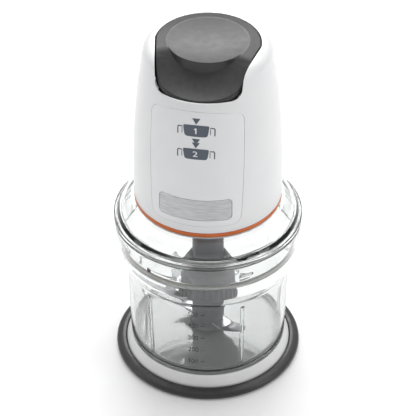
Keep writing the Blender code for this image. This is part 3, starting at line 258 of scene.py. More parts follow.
def elliptic_arc(centre, radii, first, last, steps):
    """Corners on an ellipse between two angles in degrees, counted from +R towards +Z."""
    a = np.radians(np.linspace(first, last, steps))
    return [(centre[0] + radii[0] * math.cos(v), centre[1] + radii[1] * math.sin(v)) for v in a]


ROUND_STEPS = 192


def even_angles(steps=ROUND_STEPS):
    return np.arange(steps) * 2 * math.pi / steps


def turned(outline, angles=None, change=None):
    """A grid of an outline carried round Z: x = r sin a, y = -r cos a, so that angle 0 is the front.

    change(radius, height, angle) may return another radius, for ribs, flutes and lugs."""
    angles = even_angles() if angles is None else angles
    radius = np.repeat(outline[:, :1], len(angles), axis=1)
    height = np.repeat(outline[:, 1:2], len(angles), axis=1)
    turn = np.repeat(angles[None], len(outline), axis=0)
    if change is not None:
        radius = change(radius, height, turn)
    return np.stack([radius * np.sin(turn), -radius * np.cos(turn), height], axis=-1)


def smooth(t):
    """0 below 0, 1 above 1, and 3t^2 - 2t^3 in between."""
    t = np.clip(t, 0, 1)
    return t * t * (3 - 2 * t)


def away_from(angle, centres_in_degrees):
    """How far an angle is from the nearest of several, in radians, the short way round."""
    centres = np.radians(np.asarray(centres_in_degrees, float))
    gaps = np.abs((angle[..., None] - centres + math.pi) % (2 * math.pi) - math.pi)
    return gaps.min(axis=-1)


def with_extra(centres_in_degrees, offsets_in_degrees, steps=ROUND_STEPS):
    """Even angles with more of them near some centres, where a narrow rib or lug needs them."""
    extra = np.radians(np.add.outer(centres_in_degrees, offsets_in_degrees)).ravel() % (2 * math.pi)
    every = np.sort(np.concatenate([even_angles(steps), extra]))
    return every[np.concatenate([[True], np.diff(every) > 1e-4])]


made_pieces = []


def settle(piece, body, finish, slot, *replaced):
    """The piece rides on its body, stands for its nodes, and waits for its finish."""
    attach(piece, body)
    if replaced:
        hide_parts(*replaced)
    made_pieces.append((piece, finish))
    print(f"{piece.name}: {len(piece.data.polygons)} faces")


# %% [markdown]
# ## Base tray
#
# The tray is a white disc whose rim stands round the bowl's foot, and a thick rubber bead snapped over its
# edge keeps it from slipping. Both are plain turned shapes, so their outlines do all the work: a bead of an
# ellipse, and small fillets wherever a mould would have them.

# %% Base tray
PLINTH_TOP = span("base_plinth")[1][2]
RING_RADIUS = span("base_ring")[1][0]

plinth_outline = rounded([
    (0, 14.6), (49.4, 14.6, 0.4), (49.8, PLINTH_TOP, 0.3), (56.2, PLINTH_TOP, 0.6), (56.9, 12.4, 1.0),
    (59.5, 6.7, 1.2), (59.5, 1.2, 0.3), (57.3, 1.2, 0.3), (57.3, 6.7, 0.8), (54.4, 10.8, 0.8), (0, 10.8),
], closed=False)
plinth = grid_piece("tray", turned(plinth_outline))
settle(plinth, "base", "tray_white", "white_plastic", "base_plinth")

ring_outline = rounded([
    *elliptic_arc((RING_RADIUS - 3.2, 3.1), (3.2, 3.1), -90, 60, 16),
    (62.4, 6.9, 0.8), (60.3, 6.8, 0.4), (59.8, 6.2, 0.4), (59.8, 0.9, 0.3), (55.3, 0.9, 0.3),
    (55.3, 0.0, 0.2),
], steps=3)
ring = grid_piece("rubber_ring", turned(ring_outline), round_rows=True)
settle(ring, "base", "ring_rubber", "black_rubber", "base_ring")

# %% [markdown]
# ## Bowl
#
# The bowl is one clear moulding: nearly straight walls, a collar that swells out to the rim, a ledge inside
# it that carries the cover's seal, five upright ribs that stir the food, and a small tower for the steel
# spindle. The ribs and the four bayonet ramps are changes of the inner radius at certain angles, so that
# the wall stays one closed surface: clear plastic made of overlapping solids would show its joins.

# %% Bowl
BOWL_TOP = span("bowl")[1][2]
COLLAR_FOOT, COLLAR_RISE = 75.5, 44.2
COLLAR_RADIUS, COLLAR_FLARE = 57.6, 8.8
LEDGE, LEDGE_RADIUS = 100.0, 62.35
BOWL_WALL = 2.2
RIB_PROUD, RAMP_PROUD = 2.0, 1.1
COLLAR_SHARES = ((0, 0), (0.08, 0.11), (0.26, 0.17), (0.46, 0.295), (0.61, 0.41), (0.82, 0.60), (1, 1))
RIB_ANGLES = (36, 108, 180, 252, 324)
RAMP_ANGLES = (35, 125, 215, 305)


def collar_points(inwards, last):
    """The collar's outline from its foot to a height: its radius grows by shares of its flare."""
    return [
        (COLLAR_RADIUS + COLLAR_FLARE * share - inwards, COLLAR_FOOT + COLLAR_RISE * height, 4.0)
        for share, height in COLLAR_SHARES
        if COLLAR_FOOT + COLLAR_RISE * height < last
    ]


def bowl_wall(radius, height, angle):
    """The inner wall's ribs, 2 mm proud and 1.8 mm wide, and the ramps above the ledge."""
    is_inside = (radius < 53.95 + (height - 20) * 0.03) & (radius > 48)
    from_rib = away_from(angle, RIB_ANGLES) * 53.5
    rib = 1 - smooth((from_rib - 0.55) / 0.7)
    rib = rib * smooth((75.0 - height) / 1.4) * smooth((height - 17.1) / 1.0)
    from_ramp = away_from(angle, RAMP_ANGLES) * 62.4
    ramp = (1 - smooth((from_ramp - 4.0) / 0.8)) * (1 - smooth((np.abs(height - 110.0) - 0.7) / 0.5))
    in_collar = (radius < 64.0) & (radius > 61.5)
    return radius - RIB_PROUD * rib * is_inside - RAMP_PROUD * ramp * in_collar


# Extra rows down the collar's inner face, close enough for the ramps' soft edges.
ramp_heights = np.linspace(111.5, 108.5, 13)
ramp_rows = list(zip(LEDGE_RADIUS + 1.85 * (ramp_heights - LEDGE) / 19.7, ramp_heights))
bowl_outline = rounded([
    (0, 15.0), (49.9, 15.0, 0.3), (50.3, 13.3, 0.3), (54.4, 13.3, 0.8), (55.7, 14.3, 1.0), (56.0, 16.1, 1.0),
    *collar_points(0, BOWL_TOP - 1),
    (66.4, BOWL_TOP, 0.5), (64.2, BOWL_TOP, 0.5),
    *ramp_rows, (LEDGE_RADIUS, LEDGE, 0.3), (59.4, LEDGE, 0.5), (59.4, 88.5, 1.5),
    *reversed(collar_points(BOWL_WALL, 86.0)),
    (53.8, 20.6, 2.0), (52.8, 18.2, 1.2), (50.4, 17.2, 1.2), (7.0, 17.2, 0.8), (6.6, 23.5, 0.4),
    (3.3, 23.5, 0.3), (3.3, 16.2, 0.2), (0, 16.2),
], closed=False)
bowl_outline = filled_in(bowl_outline, 2.5, closed=False)
rib_offsets = (-1.6, -1.25, -1.0, -0.8, -0.6, -0.3, 0, 0.3, 0.6, 0.8, 1.0, 1.25, 1.6)
ramp_offsets = (-4.6, -4.3, -4.0, -3.7, 3.7, 4.0, 4.3, 4.6)
bowl_angles = with_extra(RIB_ANGLES, rib_offsets)
bowl_angles = np.unique(np.round(np.concatenate([bowl_angles, with_extra(RAMP_ANGLES, ramp_offsets)]), 6))
bowl = grid_piece("clear_bowl", turned(bowl_outline, bowl_angles, bowl_wall), smooth_below=35)
settle(bowl, "bowl", "clear_moulding", "clear_plastic", "bowl")

spindle_low, spindle_high = span("bowl_spindle")
spindle_outline = rounded([
    (0, spindle_low[2]), (3.0, spindle_low[2], 0.3), (3.0, 78.1, 0.4), (1.8, spindle_high[2], 0.5),
    (0, spindle_high[2]),
], closed=False)
spindle = grid_piece("steel_spindle", turned(spindle_outline, even_angles(48)))
settle(spindle, "bowl", "ground_steel", "steel", "bowl_spindle")

# %% [markdown]
# ## Cover and seal
#
# The cover's skirt hangs inside the bowl's collar on a soft seal, its flange lies on the bowl's rim, and
# its dome rises in one smooth shoulder to the level seat under the power unit. Four small lugs on the skirt
# slide under the bowl's ramps when the cover is turned. A tall neck in the middle guides the shaft.

# %% Cover and seal
SEAT = 135.5
LUG_ANGLES = RAMP_ANGLES


def cover_wall(radius, height, angle):
    """The skirt's four lugs, 1 mm proud and 9 mm long."""
    from_lug = away_from(angle, LUG_ANGLES) * 61.0
    lug = (1 - smooth((from_lug - 4.0) / 0.7)) * (1 - smooth((np.abs(height - 107.2) - 0.8) / 0.5))
    return radius + 1.0 * lug * (radius > 60.8) * (radius < 61.2)


cover_outline = rounded([
    (58.7, 102.6, 0.6), (60.9, 102.6, 0.6), (60.9, 105.6), (60.9, 106.0), (60.9, 106.5), (60.9, 107.2),
    (60.9, 107.9), (60.9, 108.4), (60.9, 108.9), (60.9, 120.0, 0.5),
    (66.4, 120.0, 0.4), (66.4, 121.8, 0.7), (65.7, 122.8, 0.6), (63.9, 122.6, 0.6), (62.4, 125.3, 0.8),
    (61.8, 125.5, 0.5), *elliptic_arc((53.0, 125.0), (8.0, 10.5), 0, 88, 14),
    (52.4, SEAT, 0.4), (13.6, SEAT, 0.6), (13.6, 142.0, 0.5), (11.6, 142.0, 0.5), (11.6, 133.3, 0.6),
    *elliptic_arc((51.8, 123.2), (7.6, 10.1), 90, 8, 12),
    (58.7, 120.0, 2.0),
])
cover = grid_piece(
    "clear_cover", turned(cover_outline, with_extra(LUG_ANGLES, ramp_offsets), cover_wall),
    round_rows=True, smooth_below=35,
)
settle(cover, "cover", "clear_moulding", "clear_plastic", "cover")


def soft_block(low, high, fillet):
    """A box with round upright corners and a softened top: rings of one outline, scaled about its middle."""
    low, high = np.array(low, float), np.array(high, float)
    centre, half = (low + high) / 2, (high - low) / 2
    a = even_angles(40) + math.pi / 80
    x = np.sign(np.cos(a)) * (half[0] - fillet) + fillet * np.cos(a)
    y = np.sign(np.sin(a)) * (half[1] - fillet) + fillet * np.sin(a)
    rings = ((0, low[2]), (1, low[2]), (1, high[2] - 0.35), (0.93, high[2]), (0, high[2]))
    return np.array([
        np.stack([centre[0] + share * x, centre[1] + share * y, np.full_like(x, z)], -1) for share, z in rings
    ])


for side, label in ((-1, "left"), (1, "right")):
    key_points = soft_block((side * 30 - 4, -1.5, SEAT + 0.02), (side * 30 + 4, 1.5, SEAT + 2.2), 0.8)
    key = grid_piece(f"cover_key_{label}", key_points)
    settle(key, "cover", "clear_moulding", "clear_plastic", "cover")

seal_low, seal_high = span("cover_seal")
seal_outline = rounded([
    (59.8, seal_low[2], 0.4), (61.8, seal_low[2], 0.4), (61.8, 101.0, 0.3), (61.4, 101.3, 0.3),
    (61.8, 101.6, 0.3),
    (61.8, seal_high[2], 0.4), (59.8, seal_high[2], 0.4),
])
seal = grid_piece("soft_seal", turned(seal_outline), round_rows=True)
settle(seal, "seal", "seal_silicone", "seal_silicone", "cover_seal")

# %% [markdown]
# ## Housing
#
# The power unit's housing is a tall white shell that draws in towards its shoulder. Its radius is one
# formula of the height, which the front panel, the badge and every printed mark share, so that they all lie
# on its wall. The openings for the button, the panel and the cord sleeve are cut with exact Booleans, which
# keep their edges crisp, and the cut mesh is kept in place of the modifiers.

# %% The housing's wall
HOUSING_FOOT, HOUSING_TOP = span("housing")[0][2], span("housing")[1][2]
SHOULDER = 255.0
WALL = 2.5
FOOT_RADIUS = 51.8
DRAWN_IN = 7.8
STRAIGHT_TO, DRAW_HEIGHT = 150.8, 103.8


def housing_radius(z):
    """The wall's outer radius: it draws in by a share of the height above STRAIGHT_TO, to the power 2.2."""
    return FOOT_RADIUS - DRAWN_IN * np.clip((z - STRAIGHT_TO) / DRAW_HEIGHT, 0, None) ** 2.2


levels = np.linspace(HOUSING_FOOT, SHOULDER, 44)
outer = [(float(housing_radius(z)), z) for z in levels]
inner = [(r - WALL, z) for r, z in outer]
shoulder_radius = outer[-1][0]
housing_outline = rounded([
    (outer[0][0], HOUSING_FOOT, 0.4), *outer[1:],
    *elliptic_arc((shoulder_radius - 7.0, SHOULDER), (7.0, HOUSING_TOP - SHOULDER), 6, 90, 14),
    (27.4, HOUSING_TOP), (27.4, HOUSING_TOP - WALL),
    (shoulder_radius - WALL - 3.0, HOUSING_TOP - WALL, 2.0),
    *[p for p in reversed(inner) if p[1] > 171.5],
    (49.0, 168.3), (45.8, 168.3), (45.8, 166.3), (49.2, 162.8),
    *[p for p in reversed(inner) if p[1] < 162.0],
])
housing = grid_piece("white_housing", turned(housing_outline), round_rows=True)

# %% The button's outline from above
OPENING_FOOT = 244.0
BUTTON_RADIUS = 35.4
TONGUE_TIP = 28.8


def button_reach(angle, front):
    """The button's radius at an angle from the front.

    It is round behind. In front, its sides run straight to the tongue's tip and its end is an arc. The two
    are blended as (side^-14 + front^-14)^(-1/14), which rounds the corner between them."""
    across = math.sqrt(float(housing_radius(OPENING_FOOT)) ** 2 - TONGUE_TIP**2)
    along = BUTTON_RADIUS - TONGUE_TIP
    size = math.hypot(across, along)
    towards_side = across / size * np.abs(np.sin(angle)) + along / size * np.cos(angle)
    side = BUTTON_RADIUS * across / size / np.clip(towards_side, 0.2, None)
    blended = (side**-14.0 + float(front) ** -14.0) ** (-1 / 14.0)
    return np.where(np.cos(angle) > 0, np.minimum(blended, np.maximum(side, BUTTON_RADIUS)), BUTTON_RADIUS)


# %% Tools that cut


def prism(name, outline, low, high, upright="z"):
    """A closed solid from an outline of (x, y), between two levels of Z, or of (x, z) between two of Y."""
    outline = np.asarray(outline, float)
    rings = []
    for level in (low, high):
        ends = np.full(len(outline), level)
        x, other = outline[:, 0], outline[:, 1]
        columns = (x, other, ends) if upright == "z" else (x, ends, other)
        rings.append(np.stack(columns, axis=-1))
    faces = grid_faces(2, len(outline), False, True)
    faces += [list(range(len(outline)))[::-1], [len(outline) + k for k in range(len(outline))]]
    return linked(name, np.array(rings), faces)


def applied(piece, tool, operation):
    """Gives the piece its mesh after an exact Boolean with the tool, and removes the tool."""
    change = piece.modifiers.new(operation.lower(), "BOOLEAN")
    change.operation = operation
    change.solver = "EXACT"
    change.object = tool
    bpy.context.view_layer.update()
    evaluated = piece.evaluated_get(bpy.context.evaluated_depsgraph_get())
    mesh = bpy.data.meshes.new_from_object(evaluated)
    piece.modifiers.clear()
    piece.data = mesh
    mesh.name = piece.name
    bpy.data.objects.remove(tool)


def resmoothed(piece, angle):
    """Smooth shading again, with sharp edges where the faces meet at more than an angle."""
    piece.data.shade_smooth()
    piece.data.set_sharp_from_angle(angle=math.radians(angle))


def wall_patch(name, half_angle, low, high, corner, front, back, sag=0.0, soft=0.0, across=64, up=64):
    """A patch of the housing's wall with round corners, between two depths measured from its outer surface.

    Its half angle runs from one value at the foot to another at the top, less the corner's arc,
    corner - sqrt(corner^2 - into^2). Its top edge sags by sag * across^2 towards the ends. A soft edge sits
    lower by its own width, over the same width inwards."""
    edge = [back, front - soft] if soft else [back]
    inside_rows = np.concatenate([
        low + corner * (1 - np.cos(np.linspace(0, math.pi / 2, 12))),
        np.linspace(low + corner, high - corner, up)[1:-1],
        high - corner * (1 - np.cos(np.linspace(math.pi / 2, 0, 12))),
    ])
    inside_rows[[0, -1]] += (soft, -soft)
    z = np.concatenate([[low] * len(edge), inside_rows, [high] * len(edge)])
    row_depth = np.concatenate([edge, np.full(len(inside_rows), front), edge[::-1]])
    into = np.clip(np.maximum(low + corner - z, z - (high - corner)), 0, corner)
    middle = float(housing_radius((low + high) / 2))
    corner_arc = corner - np.sqrt(corner**2 - into**2)
    half = np.radians(np.interp(z, (low, high), half_angle)) - corner_arc / middle
    inside_columns = np.linspace(-1, 1, across)
    inside_columns[[0, -1]] += np.array([1, -1]) * soft / (math.radians(half_angle[0]) * middle)
    share = np.concatenate([[-1] * len(edge), inside_columns, [1] * len(edge)])
    column_depth = np.concatenate([edge, np.full(across, front), edge[::-1]])
    angle = half[:, None] * share[None]
    depth = np.minimum(row_depth[:, None], column_depth[None])
    heights = z[:, None] - sag * share[None] ** 2 * ((z - low) / (high - low))[:, None]
    grids = []
    for level in (depth, np.full_like(depth, back)):
        radius = housing_radius(heights) + level
        grids.append(np.stack([radius * np.sin(angle), -radius * np.cos(angle), heights], axis=-1))
    rows, columns = depth.shape
    faces = grid_faces(rows, columns, False, False) + grid_faces(rows, columns, False, False, rows * columns)
    return linked(name, np.array(grids), faces, smooth_below=35)


# %% Openings in the housing
tongue_front = float(housing_radius(OPENING_FOOT)) - 1.5
plan_angles = even_angles(240)
plan_reach = button_reach(plan_angles, FOOT_RADIUS) + 0.5
opening_plan = np.stack([plan_reach * np.sin(plan_angles), -plan_reach * np.cos(plan_angles)], axis=-1)
opening = prism("opening_tool", opening_plan, OPENING_FOOT, HOUSING_TOP + 8)

tip_half, tip_corner = TONGUE_TIP + 0.5, 6.5
turns = np.radians(np.linspace(-90, 0, 13))
right_side = np.stack([
    tip_half - tip_corner + tip_corner * np.cos(turns), OPENING_FOOT + tip_corner * (1 + np.sin(turns)),
], -1)
right_side = np.concatenate([right_side, [(39.4, OPENING_FOOT + tip_corner + 6), (39.4, HOUSING_TOP + 12)]])
front_outline = np.concatenate([right_side, right_side[::-1] * (-1, 1)])
applied(opening, prism("front_tool", front_outline, -60, 60, upright="y"), "INTERSECT")
applied(housing, opening, "DIFFERENCE")

pocket_angles = np.radians(np.linspace(-44, 44, 45))
ring_out, ring_in = tongue_front + 0.5, tongue_front - 6
pocket_outline = np.concatenate([
    np.stack([ring_out * np.sin(pocket_angles), -ring_out * np.cos(pocket_angles)], -1),
    np.stack([ring_in * np.sin(pocket_angles[::-1]), -ring_in * np.cos(pocket_angles[::-1])], -1),
])
POCKET_FOOT = 236.5
applied(housing, prism("pocket_tool", pocket_outline, POCKET_FOOT, OPENING_FOOT + 1.2), "DIFFERENCE")

PANEL = {"half_angle": (36.3, 41.3), "low": 146.8, "high": 238.0, "corner": 7.0, "sag": 3.0}
BADGE = {"half_angle": (28.8, 28.8), "low": 152.0, "high": 168.7, "corner": 3.0}


def grown(patch, by):
    """The same patch, larger all round by a distance."""
    middle = float(housing_radius((patch["low"] + patch["high"]) / 2))
    return {
        **patch,
        "half_angle": tuple(half + math.degrees(by / middle) for half in patch["half_angle"]),
        "low": patch["low"] - by,
        "high": patch["high"] + by,
        "corner": patch["corner"] + by,
    }


applied(housing, wall_patch("panel_tool", **grown(PANEL, 0.12), front=3.0, back=-1.5), "DIFFERENCE")
GLAND, GLAND_HOLE = 154.8, 5.8
hole = np.stack([GLAND_HOLE * np.cos(even_angles(64)), GLAND + GLAND_HOLE * np.sin(even_angles(64))], -1)
applied(housing, prism("sleeve_tool", hole, 40, 60, upright="y"), "DIFFERENCE")
resmoothed(housing, 32)
settle(housing, "power_unit", "housing_white", "white_plastic", "housing")

# %% Front panel, badge and band
panel = wall_patch("front_panel_skin", **PANEL, front=0.0, back=-1.2, soft=0.22)
applied(panel, wall_patch("badge_tool", **grown(BADGE, 0.3), front=3.0, back=-0.7), "DIFFERENCE")
resmoothed(panel, 32)
settle(panel, "power_unit", "panel_white", "white_plastic", "front_panel")
badge = wall_patch("badge", **BADGE, front=-0.02, back=-0.4, soft=0.16)
settle(badge, "power_unit", "badge_brushed", "badge_metal", "badge_plate")

band_low, band_high = span("accent_ring")
band_outline = rounded([
    (49.2, band_low[2], 0.3), (51.2, band_low[2], 0.3), (FOOT_RADIUS, band_low[2] + 0.6, 0.5),
    (FOOT_RADIUS, band_high[2], 0.3), (49.2, band_high[2], 0.3),
])
band = grid_piece("orange_band", turned(band_outline), round_rows=True)
settle(band, "power_unit", "orange_band", "orange_plastic", "accent_ring")

# %% [markdown]
# ## Press button
#
# The button is a dished disc for the palm with a smooth ring round it. Behind, the ring is nearly level
# with the dish; in front it folds down the housing as a tongue, while the dish stays level, so its front
# edge stands up as a lip. The height is therefore a function of x and y: a level part, and a fold that only
# depends on y.

# %% Press button
BUTTON_FOOT = span("button")[0][2]
DISH, DISH_DEPTH = 27.2, 2.4
LIP_FOOT = 28.0
SKIN = 2.2
FOLD_START = -12.0
FOOT_FILL, FILL_FADE = 0.22, 1.8
LIP_HEIGHT = span("button")[1][2]


def fold_drop(y):
    """How far the face has bent down in front of the fold's start: its slope, added up along y."""
    along = np.linspace(0, 37, 149)
    slope = np.interp(along, (0, 5, 14, 31), (0, 0.78, 0.78, 0.42))
    drop = np.concatenate([[0], np.cumsum((slope[1:] + slope[:-1]) / 2 * np.diff(along))])
    return np.interp(FOLD_START - y, along, drop)


def button_face(radius, angle):
    """The face's height: a dish, a lip, and the ring round it with its fold.

    A soft fillet, a share of the fold's drop that fades outwards, fills the foot of the lip."""
    y = -radius * np.cos(angle)
    dish = LIP_HEIGHT - DISH_DEPTH * np.clip(1 - (radius / DISH) ** 2, 0, None)
    beyond = np.clip(radius - LIP_FOOT, 0, None)
    level = np.clip(1 - (FOLD_START - y) / 8, 0, 1)
    drop = fold_drop(y)
    ring_slope = 0.22 * level * beyond
    ring_round = LIP_HEIGHT - ring_slope - drop * (1 - FOOT_FILL * np.exp(-beyond / FILL_FADE))
    blend = smooth((radius - DISH + 0.05) / (LIP_FOOT - DISH))
    return dish * (1 - blend) + ring_round * blend


button_angles = even_angles(320)
reach = button_reach(button_angles, tongue_front)


def button_row(radius, drop=0.0, height=None):
    """One ring of the button: at a radius for each angle, on its face less a drop, or at a height."""
    radius = np.broadcast_to(radius, reach.shape)
    z = button_face(radius, button_angles) - drop if height is None else np.full_like(reach, height)
    return np.stack([radius * np.sin(button_angles), -radius * np.cos(button_angles), z], axis=-1)


dish_rows = [0, 2, 5, 8, 11, 14, 17, 20, 22.5, 24.5, 26, 26.8, 27.1]
lip_rows = list(DISH - 0.02 + (LIP_FOOT - DISH + 0.05) * np.linspace(0, 1, 9))
face_rows = [button_row(r) for r in dish_rows + lip_rows]
edge = 0.7
for share in smooth(np.linspace(0.03, 1, 22)) ** 1.2:
    face_rows.append(button_row(LIP_FOOT + 0.05 + share * (reach - edge - LIP_FOOT - 0.05)))
for t in np.radians((22, 45, 68, 90)):
    face_rows.append(button_row(reach - edge * (1 - math.sin(t)), drop=edge * (1 - math.cos(t))))
rim = face_rows[-1]
for share in (0.35, 0.7, 1.0):
    lower = rim.copy()
    lower[:, 2] = rim[:, 2] + share * (BUTTON_FOOT - rim[:, 2])
    face_rows.append(lower)
inside = reach - SKIN
inner_rows = [button_row(inside, height=BUTTON_FOOT), button_row(inside, drop=SKIN)]
inner_rows += [button_row(29.0 + 0.5 * (inside - 29.0), drop=SKIN), button_row(28.2, drop=SKIN)]
under_lip = button_row(LIP_FOOT, drop=SKIN)
under_lip[:, :2] *= 25.0 / LIP_FOOT
inner_rows += [under_lip, *[button_row(radius, drop=SKIN) for radius in (24.6, 14.0, 3.62)]]
BOSS_FOOT = 254.0
inner_rows += [button_row(3.6, height=BOSS_FOOT), button_row(0.0, height=BOSS_FOOT)]
button = grid_piece("press_button", np.array(face_rows + inner_rows), smooth_below=50)
settle(button, "button", "button_dark", "button_plastic", "button")

# %% [markdown]
# ## Cord sleeve
#
# At the back the mains lead leaves through a tapered rubber sleeve. It is turned about an axis along Y,
# with the thin ring grooves that let such a sleeve bend.

# %% Cord sleeve
groove_rows = [(6.3 - 0.17 * k - (0.55 if k % 2 else 0.0), 55.2 + 0.72 * k, 0.15) for k in range(12)]
sleeve_outline = rounded([
    (7.4, 45.9, 0.2), (7.4, 48.1, 0.2), (5.3, 48.1, 0.1), (5.3, 52.3, 0.1), (6.6, 52.3, 0.3),
    (6.6, 53.9, 0.4), *groove_rows, (4.3, 64.3, 0.4), (2.9, 64.3, 0.3), (2.9, 45.9, 0.2),
])
spun = turned(sleeve_outline, even_angles(64))
lying = np.stack([spun[..., 0], spun[..., 2], GLAND + spun[..., 1]], -1)
sleeve = grid_piece("cord_sleeve", lying, round_rows=True)
settle(sleeve, "power_unit", "ring_rubber", "black_rubber", "cord_gland")

# %% [markdown]
# ## Blade assembly
#
# A grey shaft drops from the power unit through the cover's neck to a fluted hub, which carries two
# double-armed steel blades at different heights. Each arm is a five-sided section carried outwards along a
# curve: the sharp edge leads, the back is square, and the arm rises towards its tip.

# %% Hub
FLUTES, FLUTE_DEPTH = 30, 0.55


def hub_wall(radius, height, angle):
    """Shallow flutes round the widest part: the radius falls by a power of (1 + cos(30 a)) / 2."""
    zone = smooth((height - 59.5) / 1.5) * smooth((73.5 - height) / 1.5) * (radius > 18.5)
    return radius - FLUTE_DEPTH * zone * ((1 + np.cos(FLUTES * angle)) / 2) ** 0.7


SOCKET_TOP = span("blade_hub")[1][2]
hub_outline = rounded([
    (0, SOCKET_TOP - 9.0), (8.3, SOCKET_TOP - 9.0, 0.2), (8.3, SOCKET_TOP, 0.5), (10.8, SOCKET_TOP, 0.7),
    (10.8, 84.5, 1.0), (13.9, 84.2, 0.8), (14.2, 81.0, 1.2), (17.5, 78.5, 1.2), (19.0, 74.0, 1.5),
    (19.0, 61.0, 1.5), (17.5, 57.5, 1.5), (11.5, 48.5, 3.0), (11.5, 22.2, 1.0), (13.0, 19.6, 0.6),
    (12.5, 17.9, 0.4), (7.4, 17.9, 0.3), (7.4, 23.9, 0.2), (3.4, 23.9, 0.2), (3.4, 80.5, 0.2), (0, 80.5),
], closed=False)
hub_points = turned(filled_in(hub_outline, 1.5, closed=False), even_angles(FLUTES * 12), hub_wall)
hub = grid_piece("fluted_hub", hub_points)
settle(hub, "blade", "hub_grey", "hub_plastic", "blade_hub")

# %% Blades
BLADE_REACH = 48.3
BLADE_THICK = 1.5


def blade_arm(start_degrees, level, rise, from_radius=9.3, steps=60):
    """One arm as a grid: rows follow the arm outwards, columns go round its section.

    At radius r the middle lies at the angle start - 0.30 (r / 48.3)^2, the half width is
    6.2 - 3.6 ((r - 19) / 29.3)^2, and the height is the level plus the rise times ((r - 20) / 28.3)^1.3."""
    r = np.linspace(from_radius, BLADE_REACH, steps)
    middle = math.radians(start_degrees - 90) - 0.30 * (r / BLADE_REACH) ** 2
    half = 6.2 - 3.6 * (np.clip(r - 19, 0, None) / 29.3) ** 2
    lift = rise * (np.clip(r - 20, 0, None) / 28.3) ** 1.3
    tip = np.clip((r - BLADE_REACH + 2.2) / 2.2, 0, 1)
    half = half * np.sqrt(1 - 0.72 * tip**2)
    ground = smooth((r - 20.5) / 2.5)[:, None]
    across = np.array([-1, -0.97, -0.62, -0.2, 0.4, 0.97, 1, 1, 0.97, 0.4, -0.2, -0.62, -0.97, -1])
    up = np.array([0.5, 0.5, 1, 1, 1, 1, 0.94, 0.06, 0, 0, 0, 0, 0.5, 0.5])
    up_plain = np.array([0.06, 0.94, 1, 1, 1, 1, 0.94, 0.06, 0, 0, 0, 0, 0, 0.04])
    height = level + lift[:, None] + BLADE_THICK * (up * ground + up_plain * (1 - ground))
    angle = middle[:, None] + np.arcsin(np.clip(half[:, None] * across / r[:, None], -1, 1))
    return np.stack([r[:, None] * np.cos(angle), r[:, None] * np.sin(angle), height], axis=-1)


def blade(name, start_degrees, level, rises, node):
    """Both arms of a blade as one object, each closed at its ends."""
    points, faces = [], []
    for turn, rise in zip((0, 180), rises):
        arm = blade_arm(start_degrees + turn, level, rise)
        rows, columns, _ = arm.shape
        start = sum(len(p) for p in points)
        faces += grid_faces(rows, columns, False, True, start)
        for first in (start, start + (rows - 1) * columns):
            faces.append([first + k for k in range(columns)])
        points.append(arm.reshape(-1, 3))
    piece = linked(name, np.concatenate(points), faces, smooth_below=28)
    settle(piece, "blade", "ground_steel", "steel", node)


LOW_BLADE, HIGH_BLADE = span("lower_blade")[0][2], span("upper_blade")[0][2]
blade("low_blade", 57, LOW_BLADE, (20.0, 28.0), "lower_blade")
blade("high_blade", 127, HIGH_BLADE, (20.0, 16.0), "upper_blade")

# %% [markdown]
# ## Printed marks
#
# Marks are printed in ink on the panel and on the bowl. Each is a thin solid that lies 0.05 mm proud of the
# wall it is printed on: a flat drawing in (across, height), bent round the wall by angle = across / radius.
# Numerals come from a text curve, which is made a mesh before it is bent.

# %% Bending a drawing round a wall
INK = 0.05


def bowl_radius(z):
    """The bowl's outer radius below the collar: it grows by 1.6 mm over the straight wall."""
    return np.interp(z, (16.1, 75.5, 80.4, 83.0, 88.5), (56.0, 57.6, 58.3, 59.9, 61.6))


def printed(name, flat, faces, wall, degrees=0.0, lift=INK, thick=INK):
    """A thin solid on a wall of revolution, from flat points (across, height) and their faces."""
    flat = np.asarray(flat, float)
    turn = math.radians(degrees) + flat[:, 0] / wall(flat[:, 1])
    layers = []
    for level in (lift, lift + thick):
        radius = wall(flat[:, 1]) + level
        layers.append(np.stack([radius * np.sin(turn), -radius * np.cos(turn), flat[:, 1]], axis=-1))
    count = len(flat)
    edges = {}
    for face in faces:
        for a, b in zip(face, face[1:] + face[:1]):
            edges[(a, b)] = edges.get((a, b), 0) + 1
    sides = [[a, b, b + count, a + count] for a, b in edges if (b, a) not in edges]
    upper = [[k + count for k in face] for face in faces]
    lower = [list(reversed(face)) for face in faces]
    return linked(name, np.concatenate(layers), upper + lower + sides, smooth_below=30)


def drawn_patch(left, right, columns=15):
    """A flat patch between two edges, each a list of (across, height): rows run from left to right."""
    left, right = np.array(left, float), np.array(right, float)
    share = np.linspace(0, 1, columns)[None, :, None]
    points = left[:, None] * (1 - share) + right[:, None] * share
    return points.reshape(-1, 2), grid_faces(len(left), columns, False, False)


def joined(*drawings):
    """Several flat drawings as one."""
    points, faces, start = [], [], 0
    for some_points, some_faces in drawings:
        points.append(np.asarray(some_points, float))
        faces += [[k + start for k in face] for face in some_faces]
        start += len(some_points)
    return np.concatenate(points), faces


def numeral(text, height, centre, stretch=1.0):
    """A text as a flat drawing of a height, its middle at (across, height)."""
    curve = bpy.data.curves.new("numeral", "FONT")
    curve.body = text
    curve.resolution_u = 6
    letter = bpy.data.objects.new("numeral", curve)
    bpy.context.scene.collection.objects.link(letter)
    bpy.context.view_layer.update()
    mesh = bpy.data.meshes.new_from_object(letter.evaluated_get(bpy.context.evaluated_depsgraph_get()))
    points = np.zeros(len(mesh.vertices) * 3)
    mesh.vertices.foreach_get("co", points)
    points = points.reshape(-1, 3)[:, :2]
    faces = [list(face.vertices) for face in mesh.polygons]
    bpy.data.objects.remove(letter)
    low, high = points.min(0), points.max(0)
    size = height / (high[1] - low[1])
    points = (points - (low + high) / 2) * size * (stretch, 1) + np.array(centre)
    return points, faces


# %% Speed symbols on the panel


